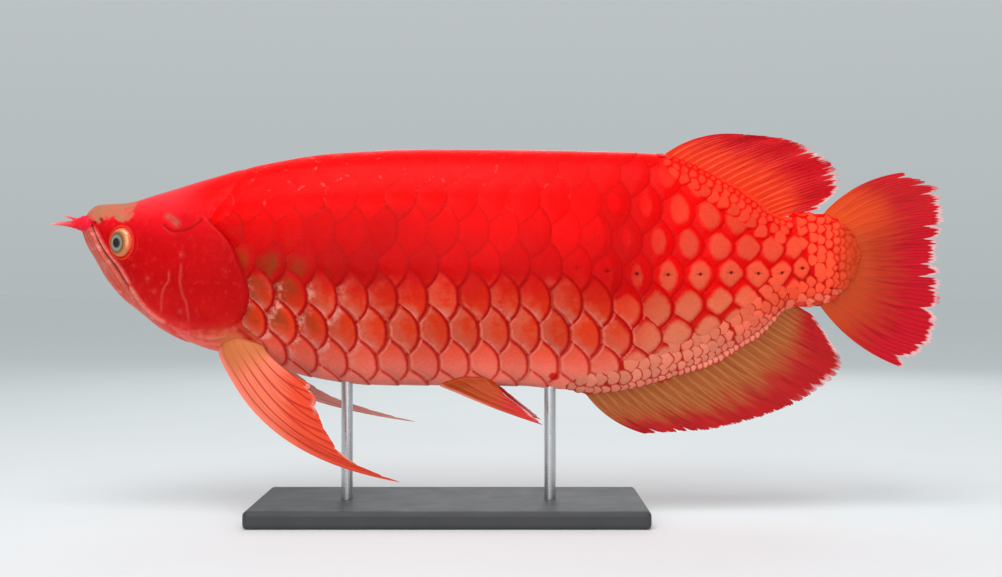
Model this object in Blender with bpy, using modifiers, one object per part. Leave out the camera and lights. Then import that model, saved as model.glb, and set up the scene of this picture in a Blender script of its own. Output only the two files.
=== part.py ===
"""Life-size display model of a red Asian arowana, swimming level on a plain two-rod stand.

The head points to -X, the left flank faces -Y and +Z is up. The origin is the middle of the stand's
underside. Sizes are in millimetres until a mesh is made.
"""

import math

import bmesh
import bpy
import numpy as np
from mathutils import Vector

MM = 0.001
GAP = 0.3  # clear space between pieces that touch
FAR = 400.0  # past the end of everything, for cutting shapes

# Side view of the body without its fins, as (x, z): the back, and the chin, belly and tail stalk below.
BACK = (
    (-257.6, 203.7), (-252.0, 212.8), (-245.7, 217.2), (-225.4, 218.6), (-201.6, 225.1), (-170.8, 234.5),
    (-131.6, 245.0), (-80.5, 253.1), (-14.0, 256.2), (77.0, 255.2), (143.5, 253.0), (184.1, 240.1),
    (214.9, 223.3), (231.0, 210.5), (256.0, 210.2), (268.0, 207.5), (277.0, 201.5), (283.0, 193.5),
    (285.5, 186.0),
)
BELLY = (
    (-257.6, 200.2), (-254.1, 190.0), (-248.5, 180.6), (-238.7, 164.2), (-227.5, 151.2), (-217.0, 142.8),
    (-200.2, 129.5), (-184.1, 121.5), (-143.5, 109.6), (-84.0, 94.9), (-53.2, 91.7), (49.0, 91.0),
    (98.0, 87.2), (127.4, 90.8), (177.8, 108.3), (214.9, 128.6), (240.0, 147.5), (255.0, 148.5),
    (266.0, 151.5), (275.5, 158.5), (282.5, 168.5), (285.5, 178.0),
)
# Top view, as (x, half the width), and how boxy the section is over and under its widest level.
HALF_WIDTH = (
    (-257.6, 2.5), (-253.4, 6.5), (-248.5, 10.5), (-239.4, 16.0), (-227.5, 21.0), (-210.0, 26.0),
    (-185.5, 29.5), (-154.0, 32.0), (-105.0, 34.0), (35.0, 34.0), (91.0, 31.5), (140.0, 27.0),
    (182.0, 21.5), (214.9, 16.0), (245.0, 11.0), (268.0, 6.8), (279.0, 4.4), (285.5, 2.4),
)
WIDEST_SHARE = 0.52
BOX_OVER = ((-257.6, 2.3), (-225.0, 2.7), (-180.0, 2.5), (-100.0, 2.35), (200.0, 2.1), (285.5, 2.0))
BOX_UNDER = ((-257.6, 2.2), (-200.0, 2.0), (-140.0, 1.8), (100.0, 1.7), (220.0, 1.9), (285.5, 2.0))

# Scales: rows run round the girth, row 0 on the back and row 8 on the belly, and columns run to the tail.
ROWS = 16
FIRST_COLUMN, LAST_COLUMN = -15, 10
SCALE_LENGTH = 22.0
TAPER_FROM, TAPER_RATE = 140.0, 0.098
SCALE_LIFT = 1.3  # height of a scale's free edge
MIDLINE_LIFT_SHARE = 0.3
EDGE_END = 0.78  # in rows: where a free edge runs under the scale in front of it
EDGE_REACH, EDGE_POWER = 0.97, 2.5
EDGE_STOPS = (-0.5, -0.22, 0.22, 0.5)
EDGE_LIFTS = (0.8, 1.0, 1.0, 0.8)
BODY_END = 285.5

# Head: where the gill cover ends, the front of its plate, and the line of the mouth, in the side view.
GILL_EDGE = (
    (-148.0, 262.0), (-151.0, 240.0), (-158.0, 221.0), (-165.9, 207.1), (-155.9, 198.2), (-147.2, 188.0),
    (-142.4, 176.5), (-138.2, 165.0), (-137.1, 154.2), (-140.4, 143.3), (-149.0, 134.5), (-166.0, 122.0),
    (-176.0, 104.0),
)
GILL_PLATE_FRONT = (
    (-150.0, 131.5), (-166.0, 131.0), (-176.5, 135.0), (-178.8, 146.3), (-181.4, 160.0), (-182.2, 176.0),
    (-179.0, 192.0), (-168.0, 205.1),
)
MOUTH_LINE = (
    (-262.0, 214.5), (-253.5, 207.6), (-250.5, 204.8), (-247.2, 200.4), (-241.8, 191.4), (-236.6, 183.0),
    (-231.0, 176.2), (-226.0, 169.0), (-219.9, 157.5),
)
MOUTH_GAP = 0.6
JAW_CORNER = ((-214.0, 144.0), (-211.0, 128.0))
LIP_SHIFT, LIP_RADIUS = 1.7, 1.5
PLATE_RISE, PLATE_DEPTH = 0.8, 3.0
EYE_PLACE = (-225.1, 190.6)
EYE_RADIUS, EYE_THICKNESS, EYE_SINK = 11.5, 6.5, 3.2
NOSTRILS = ((-239.6, 206.6), (-243.6, 205.0))
NOSTRIL_RADIUS = 1.1
BARBEL_ROOT_RADIUS, BARBEL_TIP_RADIUS = 2.3, 0.35

# Stand: a flat base and two rods that run up into the belly.
BASE_LENGTH, BASE_WIDTH, BASE_HEIGHT, BASE_ROUNDING = 270.0, 116.0, 12.0, 3.0
ROD_RADIUS, ROD_SOCKET_BASE, ROD_SOCKET_BODY = 4.0, 7.0, 11.0
ROD_PLACES = {"front": -72.0, "rear": 70.0}


def smooth_line(points):
    """A function through (x, value) points that never overshoots between them."""
    places, values = (np.array(column, float) for column in zip(*points))
    steps = np.diff(places)
    slopes = np.diff(values) / steps
    product = slopes[:-1] * slopes[1:]
    total = np.where(product > 0, slopes[:-1] + slopes[1:], 1.0)
    inner = np.where(product > 0, 2 * product / total, 0.0)
    tangents = np.concatenate([slopes[:1], inner, slopes[-1:]])

    def value(place):
        place = min(max(place, places[0]), places[-1])
        i = min(int(np.searchsorted(places, place, side="right")) - 1, len(steps) - 1)
        t = (place - places[i]) / steps[i]
        leaving, arriving = tangents[i] - slopes[i], tangents[i + 1] - slopes[i]
        straight = values[i] + t * (values[i + 1] - values[i])
        return float(straight + steps[i] * t * (1 - t) * ((1 - t) * leaving - t * arriving))

    return value


def smooth_path(points):
    """A function from a share of 0 to 1 to a point, through rows of (share, x, y, z)."""
    lines = [smooth_line([(row[0], row[i]) for row in points]) for i in (1, 2, 3)]
    return lambda share: Vector([line(share) for line in lines])


def curve_through(points, per_span=4):
    """Points along a smooth plane curve through the given ones."""
    marks = [(i, *point) for i, point in enumerate(points)]
    first = smooth_line([(m[0], m[1]) for m in marks])
    second = smooth_line([(m[0], m[2]) for m in marks])
    count = per_span * (len(points) - 1)
    return [(first(i / per_span), second(i / per_span)) for i in range(count + 1)]


def shifted(line, distance):
    """The same plane line moved sideways, to its left for a positive distance."""
    line = np.array(line)
    along = np.gradient(line, axis=0)
    along /= np.linalg.norm(along, axis=1)[:, None]
    return [tuple(p) for p in line + distance * np.column_stack([-along[:, 1], along[:, 0]])]


back, belly, half_width = smooth_line(BACK), smooth_line(BELLY), smooth_line(HALF_WIDTH)
box_over, box_under = smooth_line(BOX_OVER), smooth_line(BOX_UNDER)


def section(x):
    """The body's left half-section at x, as even steps of girth from back to belly: rows of (y, z)."""
    top, bottom = back(x), belly(x)
    middle = bottom + WIDEST_SHARE * (top - bottom)
    turn = np.linspace(0, math.pi, 81)
    over = turn <= math.pi / 2
    power = np.where(over, 2 / box_over(x), 2 / box_under(x))
    reach = np.where(over, top - middle, middle - bottom)
    y = half_width(x) * np.abs(np.sin(turn)) ** power
    z = middle + np.sign(np.cos(turn)) * reach * np.abs(np.cos(turn)) ** power
    run = np.concatenate([[0], np.cumsum(np.hypot(np.diff(y), np.diff(z)))])
    return run / run[-1], y, z


def smooth_skin(x, girth):
    """A point of the body's smooth surface. Girth 0 is the back, 1 the belly, and 1 to 2 the right side."""
    girth %= 2
    side = -1 if girth <= 1 else 1
    share, y, z = section(x)
    place = girth if girth <= 1 else 2 - girth
    return Vector((x, side * float(np.interp(place, share, y)), float(np.interp(place, share, z))))


def skin(x, girth, rise=0.0):
    """A point of the body's surface, raised along its normal."""
    point = smooth_skin(x, girth)
    if not rise:
        return point
    step, turn = 0.6, 0.012
    along = smooth_skin(min(x + step, BODY_END), girth) - smooth_skin(max(x - step, BACK[0][0]), girth)
    around = smooth_skin(x, girth + turn) - smooth_skin(x, girth - turn)
    return point + rise * around.cross(along).normalized()


def flank(x, z, side):
    """The point of the left (-1) or right (1) flank that lies at x and z."""
    share, y_line, z_line = section(x)
    return Vector((x, side * float(np.interp(-z, -z_line, y_line)), z))


def material(name, colour, roughness, metallic=0.0):
    made = bpy.data.materials.new(name)
    made.use_nodes = True
    shader = made.node_tree.nodes["Principled BSDF"]
    shader.inputs["Base Color"].default_value = (*colour, 1.0)
    shader.inputs["Roughness"].default_value = roughness
    shader.inputs["Metallic"].default_value = metallic
    return made


def mesh_object(name, points, faces, collection):
    """An object from points in millimetres."""
    mesh = bpy.data.meshes.new(name)
    mesh.from_pydata([Vector(p) * MM for p in points], [], faces)
    mesh.validate()
    made = bpy.data.objects.new(name, mesh)
    collection.objects.link(made)
    return made


def close_ends(made):
    """Fills the open loops of a tube-like mesh and turns its faces outwards."""
    work = bmesh.new()
    work.from_mesh(made.data)
    bmesh.ops.holes_fill(work, edges=[e for e in work.edges if e.is_boundary])
    bmesh.ops.recalc_face_normals(work, faces=work.faces)
    work.to_mesh(made.data)
    work.free()
    return made


def applied(made):
    """The object's evaluated mesh as a plain object in its place, with split caps welded."""
    bpy.context.view_layer.update()
    graph = bpy.context.evaluated_depsgraph_get()
    mesh = bpy.data.meshes.new_from_object(made.evaluated_get(graph))
    work = bmesh.new()
    work.from_mesh(mesh)
    bmesh.ops.remove_doubles(work, verts=work.verts, dist=1e-6)
    work.to_mesh(mesh)
    work.free()
    name, matrix, collection = made.name, made.matrix_world.copy(), made.users_collection[0]
    bpy.data.objects.remove(made)
    plain = bpy.data.objects.new(name, mesh)
    plain.matrix_world = matrix
    collection.objects.link(plain)
    return plain


def copy_of(made, name, collection):
    twin = bpy.data.objects.new(name, made.data.copy())
    twin.matrix_world = made.matrix_world
    collection.objects.link(twin)
    return twin


def combine(target, other, operation, solver="EXACT"):
    """Applies a Boolean with the other object, which stays."""
    modifier = target.modifiers.new("combine", "BOOLEAN")
    modifier.object = other
    modifier.operation = operation
    modifier.solver = solver
    return applied(target)


def keep_largest(made):
    """Drops every closed surface but the one that holds the most."""
    work = bmesh.new()
    work.from_mesh(made.data)
    left, groups = set(work.faces), []
    while left:
        group, edge = set(), [left.pop()]
        while edge:
            face = edge.pop()
            group.add(face)
            for near in (f for e in face.edges for f in e.link_faces if f in left):
                left.discard(near)
                edge.append(near)
        groups.append(group)

    def holds(group):
        fans = ((f.verts[0].co, f.verts[i].co, f.verts[i + 1].co)
                for f in group for i in range(1, len(f.verts) - 1))
        return abs(sum(a.cross(b).dot(c) for a, b, c in fans))

    keep = max(groups, key=holds)
    bmesh.ops.delete(work, geom=[f for f in work.faces if f not in keep], context="FACES")
    bmesh.ops.triangulate(work, faces=work.faces)
    work.to_mesh(made.data)
    work.free()
    return made


def prism(name, outline, near, far, collection):
    """A side-view outline of (x, z) drawn out from y = near to y = far."""
    curve = bpy.data.curves.new(name, "CURVE")
    curve.dimensions = "2D"
    curve.fill_mode = "BOTH"
    curve.extrude = (far - near) / 2 * MM
    spline = curve.splines.new("POLY")
    spline.points.add(len(outline) - 1)
    for point, (x, z) in zip(spline.points, outline):
        point.co = (x * MM, z * MM, 0, 1)
    spline.use_cyclic_u = True
    made = bpy.data.objects.new(name, curve)
    made.rotation_euler = (math.pi / 2, 0, 0)
    made.location = (0, (near + far) / 2 * MM, 0)
    collection.objects.link(made)
    return applied(made)


def tube(name, points, radii, collection, sides=2):
    """A round rod through points, with its own radius at each."""
    curve = bpy.data.curves.new(name, "CURVE")
    curve.dimensions = "3D"
    curve.bevel_depth = MM
    curve.bevel_resolution = sides
    curve.use_fill_caps = True
    spline = curve.splines.new("POLY")
    spline.points.add(len(points) - 1)
    for target, point, radius in zip(spline.points, points, radii):
        target.co = (*(Vector(point) * MM), 1)
        target.radius = radius
    made = bpy.data.objects.new(name, curve)
    collection.objects.link(made)
    return applied(made)


def loft(name, stations, around, rise, collection):
    """The smooth body between the first and last station, as a closed mesh."""
    points = [skin(x, 2 * i / around, rise) for x in stations for i in range(around)]
    faces = []
    for ring in range(len(stations) - 1):
        for i in range(around):
            a, b = ring * around + i, ring * around + (i + 1) % around
            faces.append((a, b, b + around, a + around))
    return close_ends(mesh_object(name, points, faces, collection))


def column_x(column):
    """Where a column lies along the body: columns grow shorter towards the tail."""
    if column <= 0:
        return TAPER_FROM + SCALE_LENGTH * column
    return TAPER_FROM + SCALE_LENGTH / TAPER_RATE * (1 - math.exp(-TAPER_RATE * column))


def row_girth(row, x):
    """Where a row lies round the girth. Towards the tail the rows near the lateral line stay the widest."""
    row %= ROWS
    place = (row if row <= ROWS / 2 else ROWS - row) / (ROWS / 2) - 0.5
    grown = min(max((x - 100) / 130, 0), 1)
    place = 0.5 + place * (1 + 0.4 * grown * (1 - 4 * place * place))
    return place if row <= ROWS / 2 else 2 - place


def lift_at(row, x):
    """How far the free edges stand up in this row: less on the two midlines and towards the tail."""
    across = abs(math.sin(2 * math.pi * row / ROWS))
    share = MIDLINE_LIFT_SHARE + (1 - MIDLINE_LIFT_SHARE) * min(1.6 * across, 1)
    length = SCALE_LENGTH - TAPER_RATE * max(x - TAPER_FROM, 0)
    return SCALE_LIFT * share * length / SCALE_LENGTH


def scaled_body(name, rise, collection, with_scales=True):
    """The body behind the head, its surface laid out as overlapping scales that point to the tail."""
    points, faces, index, places = [], [], {}, []

    def corner(kind, column, row, stop):
        """The vertex on top of (1) or at the foot of (0) a scale's free edge, at a stop across it."""
        row %= ROWS
        key = (kind, column, row, stop)
        if key not in index:
            across = EDGE_STOPS[stop]
            tip = column + (row % 2) / 2
            x = column_x(tip - EDGE_REACH * abs(across) ** EDGE_POWER)
            girth = row_girth(row + across, x)
            lift = lift_at(row + across, x) if with_scales else MIDLINE_LIFT_SHARE * SCALE_LIFT
            height = EDGE_LIFTS[stop] * lift if kind or not with_scales else 0.0
            index[key] = len(points)
            points.append(skin(x, girth, rise + height))
            places.append((x, girth))
        return index[key]

    for row in range(ROWS):
        for column in range(FIRST_COLUMN, LAST_COLUMN + 1):
            beside = column - 1 + row % 2
            front = [
                corner(0, beside, row - 1, 2), corner(0, beside, row - 1, 3), corner(0, column - 1, row, 1),
                corner(0, column - 1, row, 2), corner(0, beside, row + 1, 0), corner(0, beside, row + 1, 1),
            ]
            top = [front[0], *(corner(1, column, row, i) for i in range(4)), front[5]]
            foot = [front[0], *(corner(0, column, row, i) for i in range(4)), front[5]]
            for i in range(5):
                for a, b in ((front, top), (top, foot)):
                    ring = [a[i], b[i], b[i + 1], a[i + 1]]
                    face = [v for n, v in enumerate(ring) if v != ring[n - 1]]
                    if len(face) == 4:
                        faces += [(face[0], face[1], face[2]), (face[0], face[2], face[3])]
                    elif len(face) == 3:
                        faces.append(tuple(face))
    made = mesh_object(name, points, faces, collection)
    work = bmesh.new()
    work.from_mesh(made.data)
    work.verts.ensure_lookup_table()
    rims = [e for e in work.edges if e.is_boundary]
    first_x = column_x(FIRST_COLUMN - 1.7)
    rows_of = {v.index: places[v.index] for e in rims for v in e.verts}
    grown = bmesh.ops.extrude_edge_only(work, edges=rims)
    for new in (g for g in grown["geom"] if isinstance(g, bmesh.types.BMVert)):
        old = next(e.other_vert(new) for e in new.link_edges if e.other_vert(new).index in rows_of)
        x, girth = rows_of[old.index]
        new.co = skin(first_x if x < 0 else BODY_END, girth, rise) * MM
    work.to_mesh(made.data)
    work.free()
    return close_ends(made)


def fin(name, base, tip, bend, rays, stops, sizes, collection, notch=2.0):
    """A fin as one curved sheet with its rays raised on both faces.

    base and tip give a ray's ends from its share across the fin, bend the point that it curves towards,
    stops the shares along a ray, sizes the thickness at the root, on a ray, on the membrane and at the
    tips, and notch how far the membrane falls short of the ray tips.
    """
    root_size, ray_size, membrane_size, tip_size = sizes
    columns = 2 * (rays - 1) + 1
    points, weights = [], []
    for column in range(columns):
        across = column / (columns - 1)
        start, middle, end = base(across), bend(across), tip(across)
        on_ray = column % 2 == 0
        short = 0.0 if on_ray else notch / (end - start).length
        for stop in stops:
            t = stop * (1 - short)
            points.append((1 - t) ** 2 * start + 2 * t * (1 - t) * middle + t * t * end)
            size = ray_size + (tip_size - ray_size) * t if on_ray else membrane_size
            root = max(0.0, 1 - t / 0.22)
            weights.append((size + (root_size - size) * root) / root_size)
    count = len(stops)
    faces = []
    for column in range(columns - 1):
        for i in range(count - 1):
            a, b = column * count + i, (column + 1) * count + i
            faces += [(a, b, b + 1), (a, b + 1, a + 1)]
    made = mesh_object(name, points, faces, collection)
    group = made.vertex_groups.new(name="thickness")
    for i, weight in enumerate(weights):
        group.add([i], weight, "REPLACE")
    shell = made.modifiers.new("sheet", "SOLIDIFY")
    shell.thickness = root_size * MM
    shell.offset = 0
    shell.vertex_group = "thickness"
    made = applied(made)
    work = bmesh.new()
    work.from_mesh(made.data)
    bmesh.ops.triangulate(work, faces=work.faces)
    bmesh.ops.recalc_face_normals(work, faces=work.faces)
    work.to_mesh(made.data)
    work.free()
    return made


def bent(base, tip, first, last):
    """The point that each ray of a median fin curves towards, a share of its length off the straight."""
    def point(share):
        start, end = base(share), tip(share)
        run = end - start
        return (start + end) / 2 + (first + (last - first) * share) * Vector((-run.z, 0, run.x))
    return point


def in_plane(rows, sway=0.0):
    """Rows of (share, x, z) as a path near the fish's middle plane, swaying to one side and back."""
    path = smooth_path([(share, x, 0.0, z) for share, x, z in rows])
    return lambda share: path(share) + Vector((0, sway * math.sin(2 * math.pi * share), 0))


MEDIAN_STOPS = (0, 0.16, 0.42, 0.72, 1)
DORSAL_BASE = ((0, 149.8, 247.5), (0.25, 169.4, 242.0), (0.5, 192.5, 231.0), (0.75, 213.5, 218.0), (1, 226.0, 206.5))
DORSAL_TIP = ((0, 166.6, 260.8), (0.25, 214.9, 267.2), (0.5, 253.4, 256.9), (0.75, 274.4, 235.9), (1, 260.0, 214.0))
ANAL_BASE = ((0, 90.0, 92.5), (0.2, 127.4, 95.0), (0.4, 165.2, 107.0), (0.6, 196.7, 121.5), (0.8, 221.2, 137.0),
             (1, 238.0, 150.0))
ANAL_TIP = ((0, 102.9, 77.0), (0.1, 133.7, 57.6), (0.25, 158.9, 57.4), (0.45, 203.0, 65.1), (0.65, 241.5, 77.0),
            (0.8, 264.6, 92.4), (0.9, 275.1, 107.1), (1, 254.5, 140.5))
CAUDAL_BASE = ((0, 258.0, 207.5), (0.2, 272.0, 201.5), (0.4, 278.0, 189.0), (0.6, 278.0, 175.0), (0.8, 271.0, 161.0),
               (1, 256.0, 151.5))
CAUDAL_TIP = ((0, 316.4, 240.1), (0.15, 343.0, 227.5), (0.35, 345.8, 205.1), (0.5, 341.5, 184.5), (0.7, 343.7, 157.5),
              (0.85, 338.8, 125.3), (1, 316.4, 103.6))
PECTORAL_STOPS = (0, 0.1, 0.2, 0.33, 0.48, 0.65, 0.82, 1)
PECTORAL_ROOT = ((0, -160.5, 7.0, 118.0), (1, -135.5, 12.5, 123.5))
PECTORALS = {
    "left": {
        "side": -1,
        "bend": ((0, -132.4, 34.0, 45.5), (1, -112.7, 26.0, 103.1)),
        "tip": ((0, -30.4, 62.0, 32.0), (0.17, -48.0, 58.0, 38.4), (0.35, -66.0, 54.0, 47.5),
                (0.52, -78.5, 50.0, 60.5), (0.7, -86.4, 46.0, 75.5), (0.85, -88.7, 42.0, 86.6),
                (1, -92.7, 38.0, 94.4)),
    },
    "right": {
        "side": 1,
        "bend": ((0, -131.5, 33.0, 76.0), (1, -119.0, 24.0, 103.0)),
        "tip": ((0, -28.2, 60.0, 60.1), (0.17, -50.0, 57.0, 65.5), (0.35, -69.0, 53.5, 71.5),
                (0.52, -84.0, 49.5, 77.5), (0.7, -95.0, 45.0, 83.5), (0.85, -102.0, 40.5, 88.5),
                (1, -107.0, 35.5, 93.0)),
    },
}
PELVIC_STOPS = (0, 0.16, 0.36, 0.58, 0.8, 1)
PELVIC_ROOT = ((0, -9.0, 8.0, 95.5), (1, 29.0, 12.5, 99.5))
PELVIC_BEND = ((0, 27.0, 15.0, 76.5), (1, 35.0, 13.5, 90.5))
PELVIC_TIP = ((0, 64.5, 19.0, 65.2), (0.35, 57.5, 18.5, 71.5), (0.7, 48.5, 17.5, 78.5), (1, 38.0, 16.0, 86.0))
MEDIAN_SIZES = (3.0, 1.7, 0.8, 0.9)
PAIRED_SIZES = (4.5, 1.9, 0.8, 0.8)
PELVIC_SIZES = (3.6, 1.6, 0.8, 0.8)


def sided(rows, side):
    """A path through (share, x, distance out, z) rows on one side of the fish."""
    return smooth_path([(share, x, side * out, z) for share, x, out, z in rows])


def eye_axis(side):
    """The direction in which an eye looks: square to the head, which narrows to the snout."""
    x, z = EYE_PLACE
    along = flank(x + 6, z, side) - flank(x - 6, z, side)
    upwards = flank(x, z + 6, side) - flank(x, z - 6, side)
    return (side * upwards.cross(along)).normalized()


def at_eye(name, side, depth, make, collection):
    """Makes a round primitive and sets it square to the eye's axis, that far under the surface."""
    make()
    made = bpy.context.active_object
    made.name = name
    for old in made.users_collection:
        old.objects.unlink(made)
    collection.objects.link(made)
    axis = eye_axis(side)
    place = flank(*EYE_PLACE, side) - axis * depth
    made.rotation_mode = "QUATERNION"
    made.rotation_quaternion = axis.to_track_quat("Z", "Y")
    made.location = place * MM
    return applied(made)


def eyeball(name, side, growth, collection):
    """A flattened ball, thinner along the direction in which it looks."""
    def make():
        bpy.ops.mesh.primitive_uv_sphere_add(segments=18, ring_count=9, radius=1.0)
        ball = bpy.context.active_object
        wide, thick = (EYE_RADIUS + growth) * MM, (EYE_THICKNESS + growth) * MM
        for vertex in ball.data.vertices:
            vertex.co = (vertex.co.x * wide, vertex.co.y * wide, vertex.co.z * thick)
    return at_eye(name, side, EYE_SINK, make, collection)


def orbit_rim(name, side, collection):
    """The low ring of flesh round an eye."""
    def make():
        bpy.ops.mesh.primitive_torus_add(major_radius=(EYE_RADIUS + 0.6) * MM, minor_radius=1.5 * MM,
                                         major_segments=18, minor_segments=5)
    return at_eye(name, side, 0.6, make, collection)


def peg(name, radius, low, high, place, collection, sides=20):
    """An upright cylinder between two heights."""
    bpy.ops.mesh.primitive_cylinder_add(vertices=sides, radius=radius * MM, depth=(high - low) * MM,
                                        location=(place * MM, 0, (low + high) / 2 * MM))
    made = bpy.context.active_object
    made.name = name
    for old in made.users_collection:
        old.objects.unlink(made)
    collection.objects.link(made)
    return applied(made)


def lip(name, shift, collection, growth=0.0):
    """A soft ridge that follows the mouth line from one corner round the tip to the other."""
    line = shifted(curve_through(MOUTH_LINE[1:-1], 2), shift)
    left = [flank(x, z, -1) - Vector((0, -0.35, 0)) for x, z in line[::-1]]
    right = [Vector((p.x, -p.y, p.z)) for p in left[::-1]]
    points = left + right
    last = len(points) - 1
    radii = [growth + LIP_RADIUS * (0.3 + 0.7 * math.sin(math.pi * i / last) ** 0.5) for i in range(last + 1)]
    return tube(name, points, radii, collection, sides=1)


def make_head(parts, tools):
    """The head, lower jaw and gill covers, parted from one closed form."""
    stations = [-257.6, -256.6, -255.0, -252.6, -249.0, -244.0, -238.0, -231.0, -223.0, -214.0, -204.0,
                -193.0, -182.0, -171.0, -159.0, -146.0, -132.0]
    whole = loft("head", stations, 36, 0.0, parts)
    for name, shift in (("upper_lip", LIP_SHIFT), ("lower_lip", -LIP_SHIFT)):
        whole = combine(whole, lip(name, shift, tools), "UNION")
    for side in (-1, 1):
        whole = combine(whole, orbit_rim("rim", side, tools), "UNION")
        whole = combine(whole, eyeball("socket", side, GAP, tools), "DIFFERENCE")
        for x, z in NOSTRILS:
            place = flank(x, z, side)
            inward = Vector((0.25, -side * 0.85, -0.45)).normalized()
            drill = tube("nostril", [place - 3 * inward, place + 2.2 * inward], [NOSTRIL_RADIUS] * 2, tools, 1)
            whole = combine(whole, drill, "DIFFERENCE")

    mouth = curve_through(MOUTH_LINE, 4) + list(JAW_CORNER)
    away = [(-240.0, 100.0), (-FAR, 100.0), (-FAR, 214.5)]
    above = shifted(mouth, MOUTH_GAP / 2)
    below = shifted(mouth, -MOUTH_GAP / 2)
    jaw = copy_of(whole, "lower_jaw", parts)
    jaw = combine(jaw, prism("jaw_side", below + away, -60, 60, tools), "INTERSECT")
    whole = combine(whole, prism("jaw_space", above + away, -60, 60, tools), "DIFFERENCE")

    edge = curve_through(GILL_EDGE, 4)
    behind = prism("behind_gills", edge + [(FAR, 104.0), (FAR, 262.0)], -60, 60, tools)
    outline = curve_through(GILL_PLATE_FRONT, 3) + [(-120.0, 200.0), (-120.0, 131.5)]
    around = shifted(curve_through(GILL_PLATE_FRONT, 3), GAP) + [(-118.0, 207.0), (-118.0, 131.2)]
    near_gills = [-200.0, -193.0, -184.0, -175.0, -166.0, -157.0, -148.0, -139.0, -128.0]
    raised = loft("raised", near_gills, 36, PLATE_RISE, tools)
    floor = loft("floor", near_gills, 36, -PLATE_DEPTH, tools)
    deep = loft("deep", near_gills, 36, -PLATE_DEPTH - GAP, tools)
    for word, near, far in (("left", -60, -2), ("right", 2, 60)):
        cover = prism(f"gill_cover_{word}", outline, near, far, parts)
        for other, operation in ((raised, "INTERSECT"), (floor, "DIFFERENCE"), (behind, "DIFFERENCE")):
            cover = combine(cover, other, operation)
        keep_largest(cover)
        pocket = combine(prism("pocket", around, near, far, tools), deep, "DIFFERENCE")
        whole = combine(whole, pocket, "DIFFERENCE")
    whole = combine(whole, behind, "DIFFERENCE")
    keep_largest(whole)
    keep_largest(jaw)
    for word, side in (("left", -1), ("right", 1)):
        keep_largest(eyeball(f"eye_{word}", side, 0.0, parts))


def make_barbels(parts, tools):
    """Two feelers that grow forwards from the tip of the lower jaw."""
    stations = [-257.6, -256.6, -255.0, -252.6, -249.0, -244.0, -238.0]
    clear = loft("clear_chin", stations, 36, GAP, tools)
    for shift in (LIP_SHIFT, -LIP_SHIFT):
        clear = combine(clear, lip("clear_lip", shift, tools, GAP), "UNION")
    routes = {
        "left": [(-251.0, -2.0, 199.5), (-256.0, -3.6, 200.8), (-261.0, -5.2, 202.0), (-267.0, -7.6, 202.9),
                 (-277.0, -11.5, 203.5)],
        "right": [(-251.5, 2.4, 202.2), (-256.5, 4.2, 203.8), (-261.5, 6.2, 206.2), (-267.5, 8.6, 208.6),
                  (-275.5, 12.0, 211.0)],
    }
    for word, route in routes.items():
        steps = len(route) - 1
        radii = [BARBEL_ROOT_RADIUS + (BARBEL_TIP_RADIUS - BARBEL_ROOT_RADIUS) * (i / steps) ** 0.8
                 for i in range(steps + 1)]
        keep_largest(combine(tube(f"barbel_{word}", route, radii, parts), clear, "DIFFERENCE"))


def make_trunk(parts, tools):
    """The scaled trunk and tail stalk, with sockets for the two rods."""
    body = scaled_body("trunk", 0.0, parts)
    stalk_x = 236.0
    edge = shifted(curve_through(GILL_EDGE, 4), GAP)
    ahead = prism("ahead_of_gills", edge + [(-FAR, 104.0), (-FAR, 262.0)], -60, 60, tools)
    stalk_side = prism("stalk_side", [(stalk_x + GAP, 0), (FAR, 0), (FAR, FAR), (stalk_x + GAP, FAR)], -60, 60, tools)
    trunk_side = prism("past_trunk", [(stalk_x, 0), (FAR, 0), (FAR, FAR), (stalk_x, FAR)], -60, 60, tools)
    stalk = combine(copy_of(body, "tail_stalk", parts), stalk_side, "INTERSECT")
    body = combine(body, ahead, "DIFFERENCE")
    body = combine(body, trunk_side, "DIFFERENCE")
    for word, place in ROD_PLACES.items():
        socket = peg(f"socket_{word}", ROD_RADIUS + GAP, belly(place) - 20, belly(place) + ROD_SOCKET_BODY + GAP,
                     place, tools)
        body = combine(body, socket, "DIFFERENCE")
    keep_largest(body)
    keep_largest(stalk)


def make_fins(parts, tools):
    """Every fin, its root cut back to the surface that it grows from."""
    clear = scaled_body("clear_body", GAP, tools, with_scales=False)
    clear_flank = scaled_body("clear_flank", GAP + 0.2, tools)
    dorsal, anal, caudal = (
        (in_plane(base, sway), in_plane(tip, -sway)) for base, tip, sway in (
            (DORSAL_BASE, DORSAL_TIP, 0.0), (ANAL_BASE, ANAL_TIP, 0.0), (CAUDAL_BASE, CAUDAL_TIP, 0.0)))
    made = [
        fin("dorsal_fin", *dorsal, bent(*dorsal, 0.08, 0.04), 18, MEDIAN_STOPS, MEDIAN_SIZES, parts),
        fin("anal_fin", *anal, bent(*anal, -0.06, -0.02), 24, MEDIAN_STOPS, MEDIAN_SIZES, parts),
        fin("caudal_fin", *caudal, bent(*caudal, 0.20, -0.17), 15, MEDIAN_STOPS, MEDIAN_SIZES, parts),
    ]
    for item in made:
        keep_largest(combine(item, clear, "DIFFERENCE"))
    for word, form in PECTORALS.items():
        side = form["side"]
        item = fin(f"pectoral_fin_{word}", sided(PECTORAL_ROOT, side), sided(form["tip"], side),
                   sided(form["bend"], side), 7, PECTORAL_STOPS, PAIRED_SIZES, parts)
        keep_largest(combine(item, clear_flank, "DIFFERENCE"))
        item = fin(f"pelvic_fin_{word}", sided(PELVIC_ROOT, side), sided(PELVIC_TIP, side),
                   sided(PELVIC_BEND, side), 5, PELVIC_STOPS, PELVIC_SIZES, parts)
        keep_largest(combine(item, clear_flank, "DIFFERENCE"))


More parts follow.
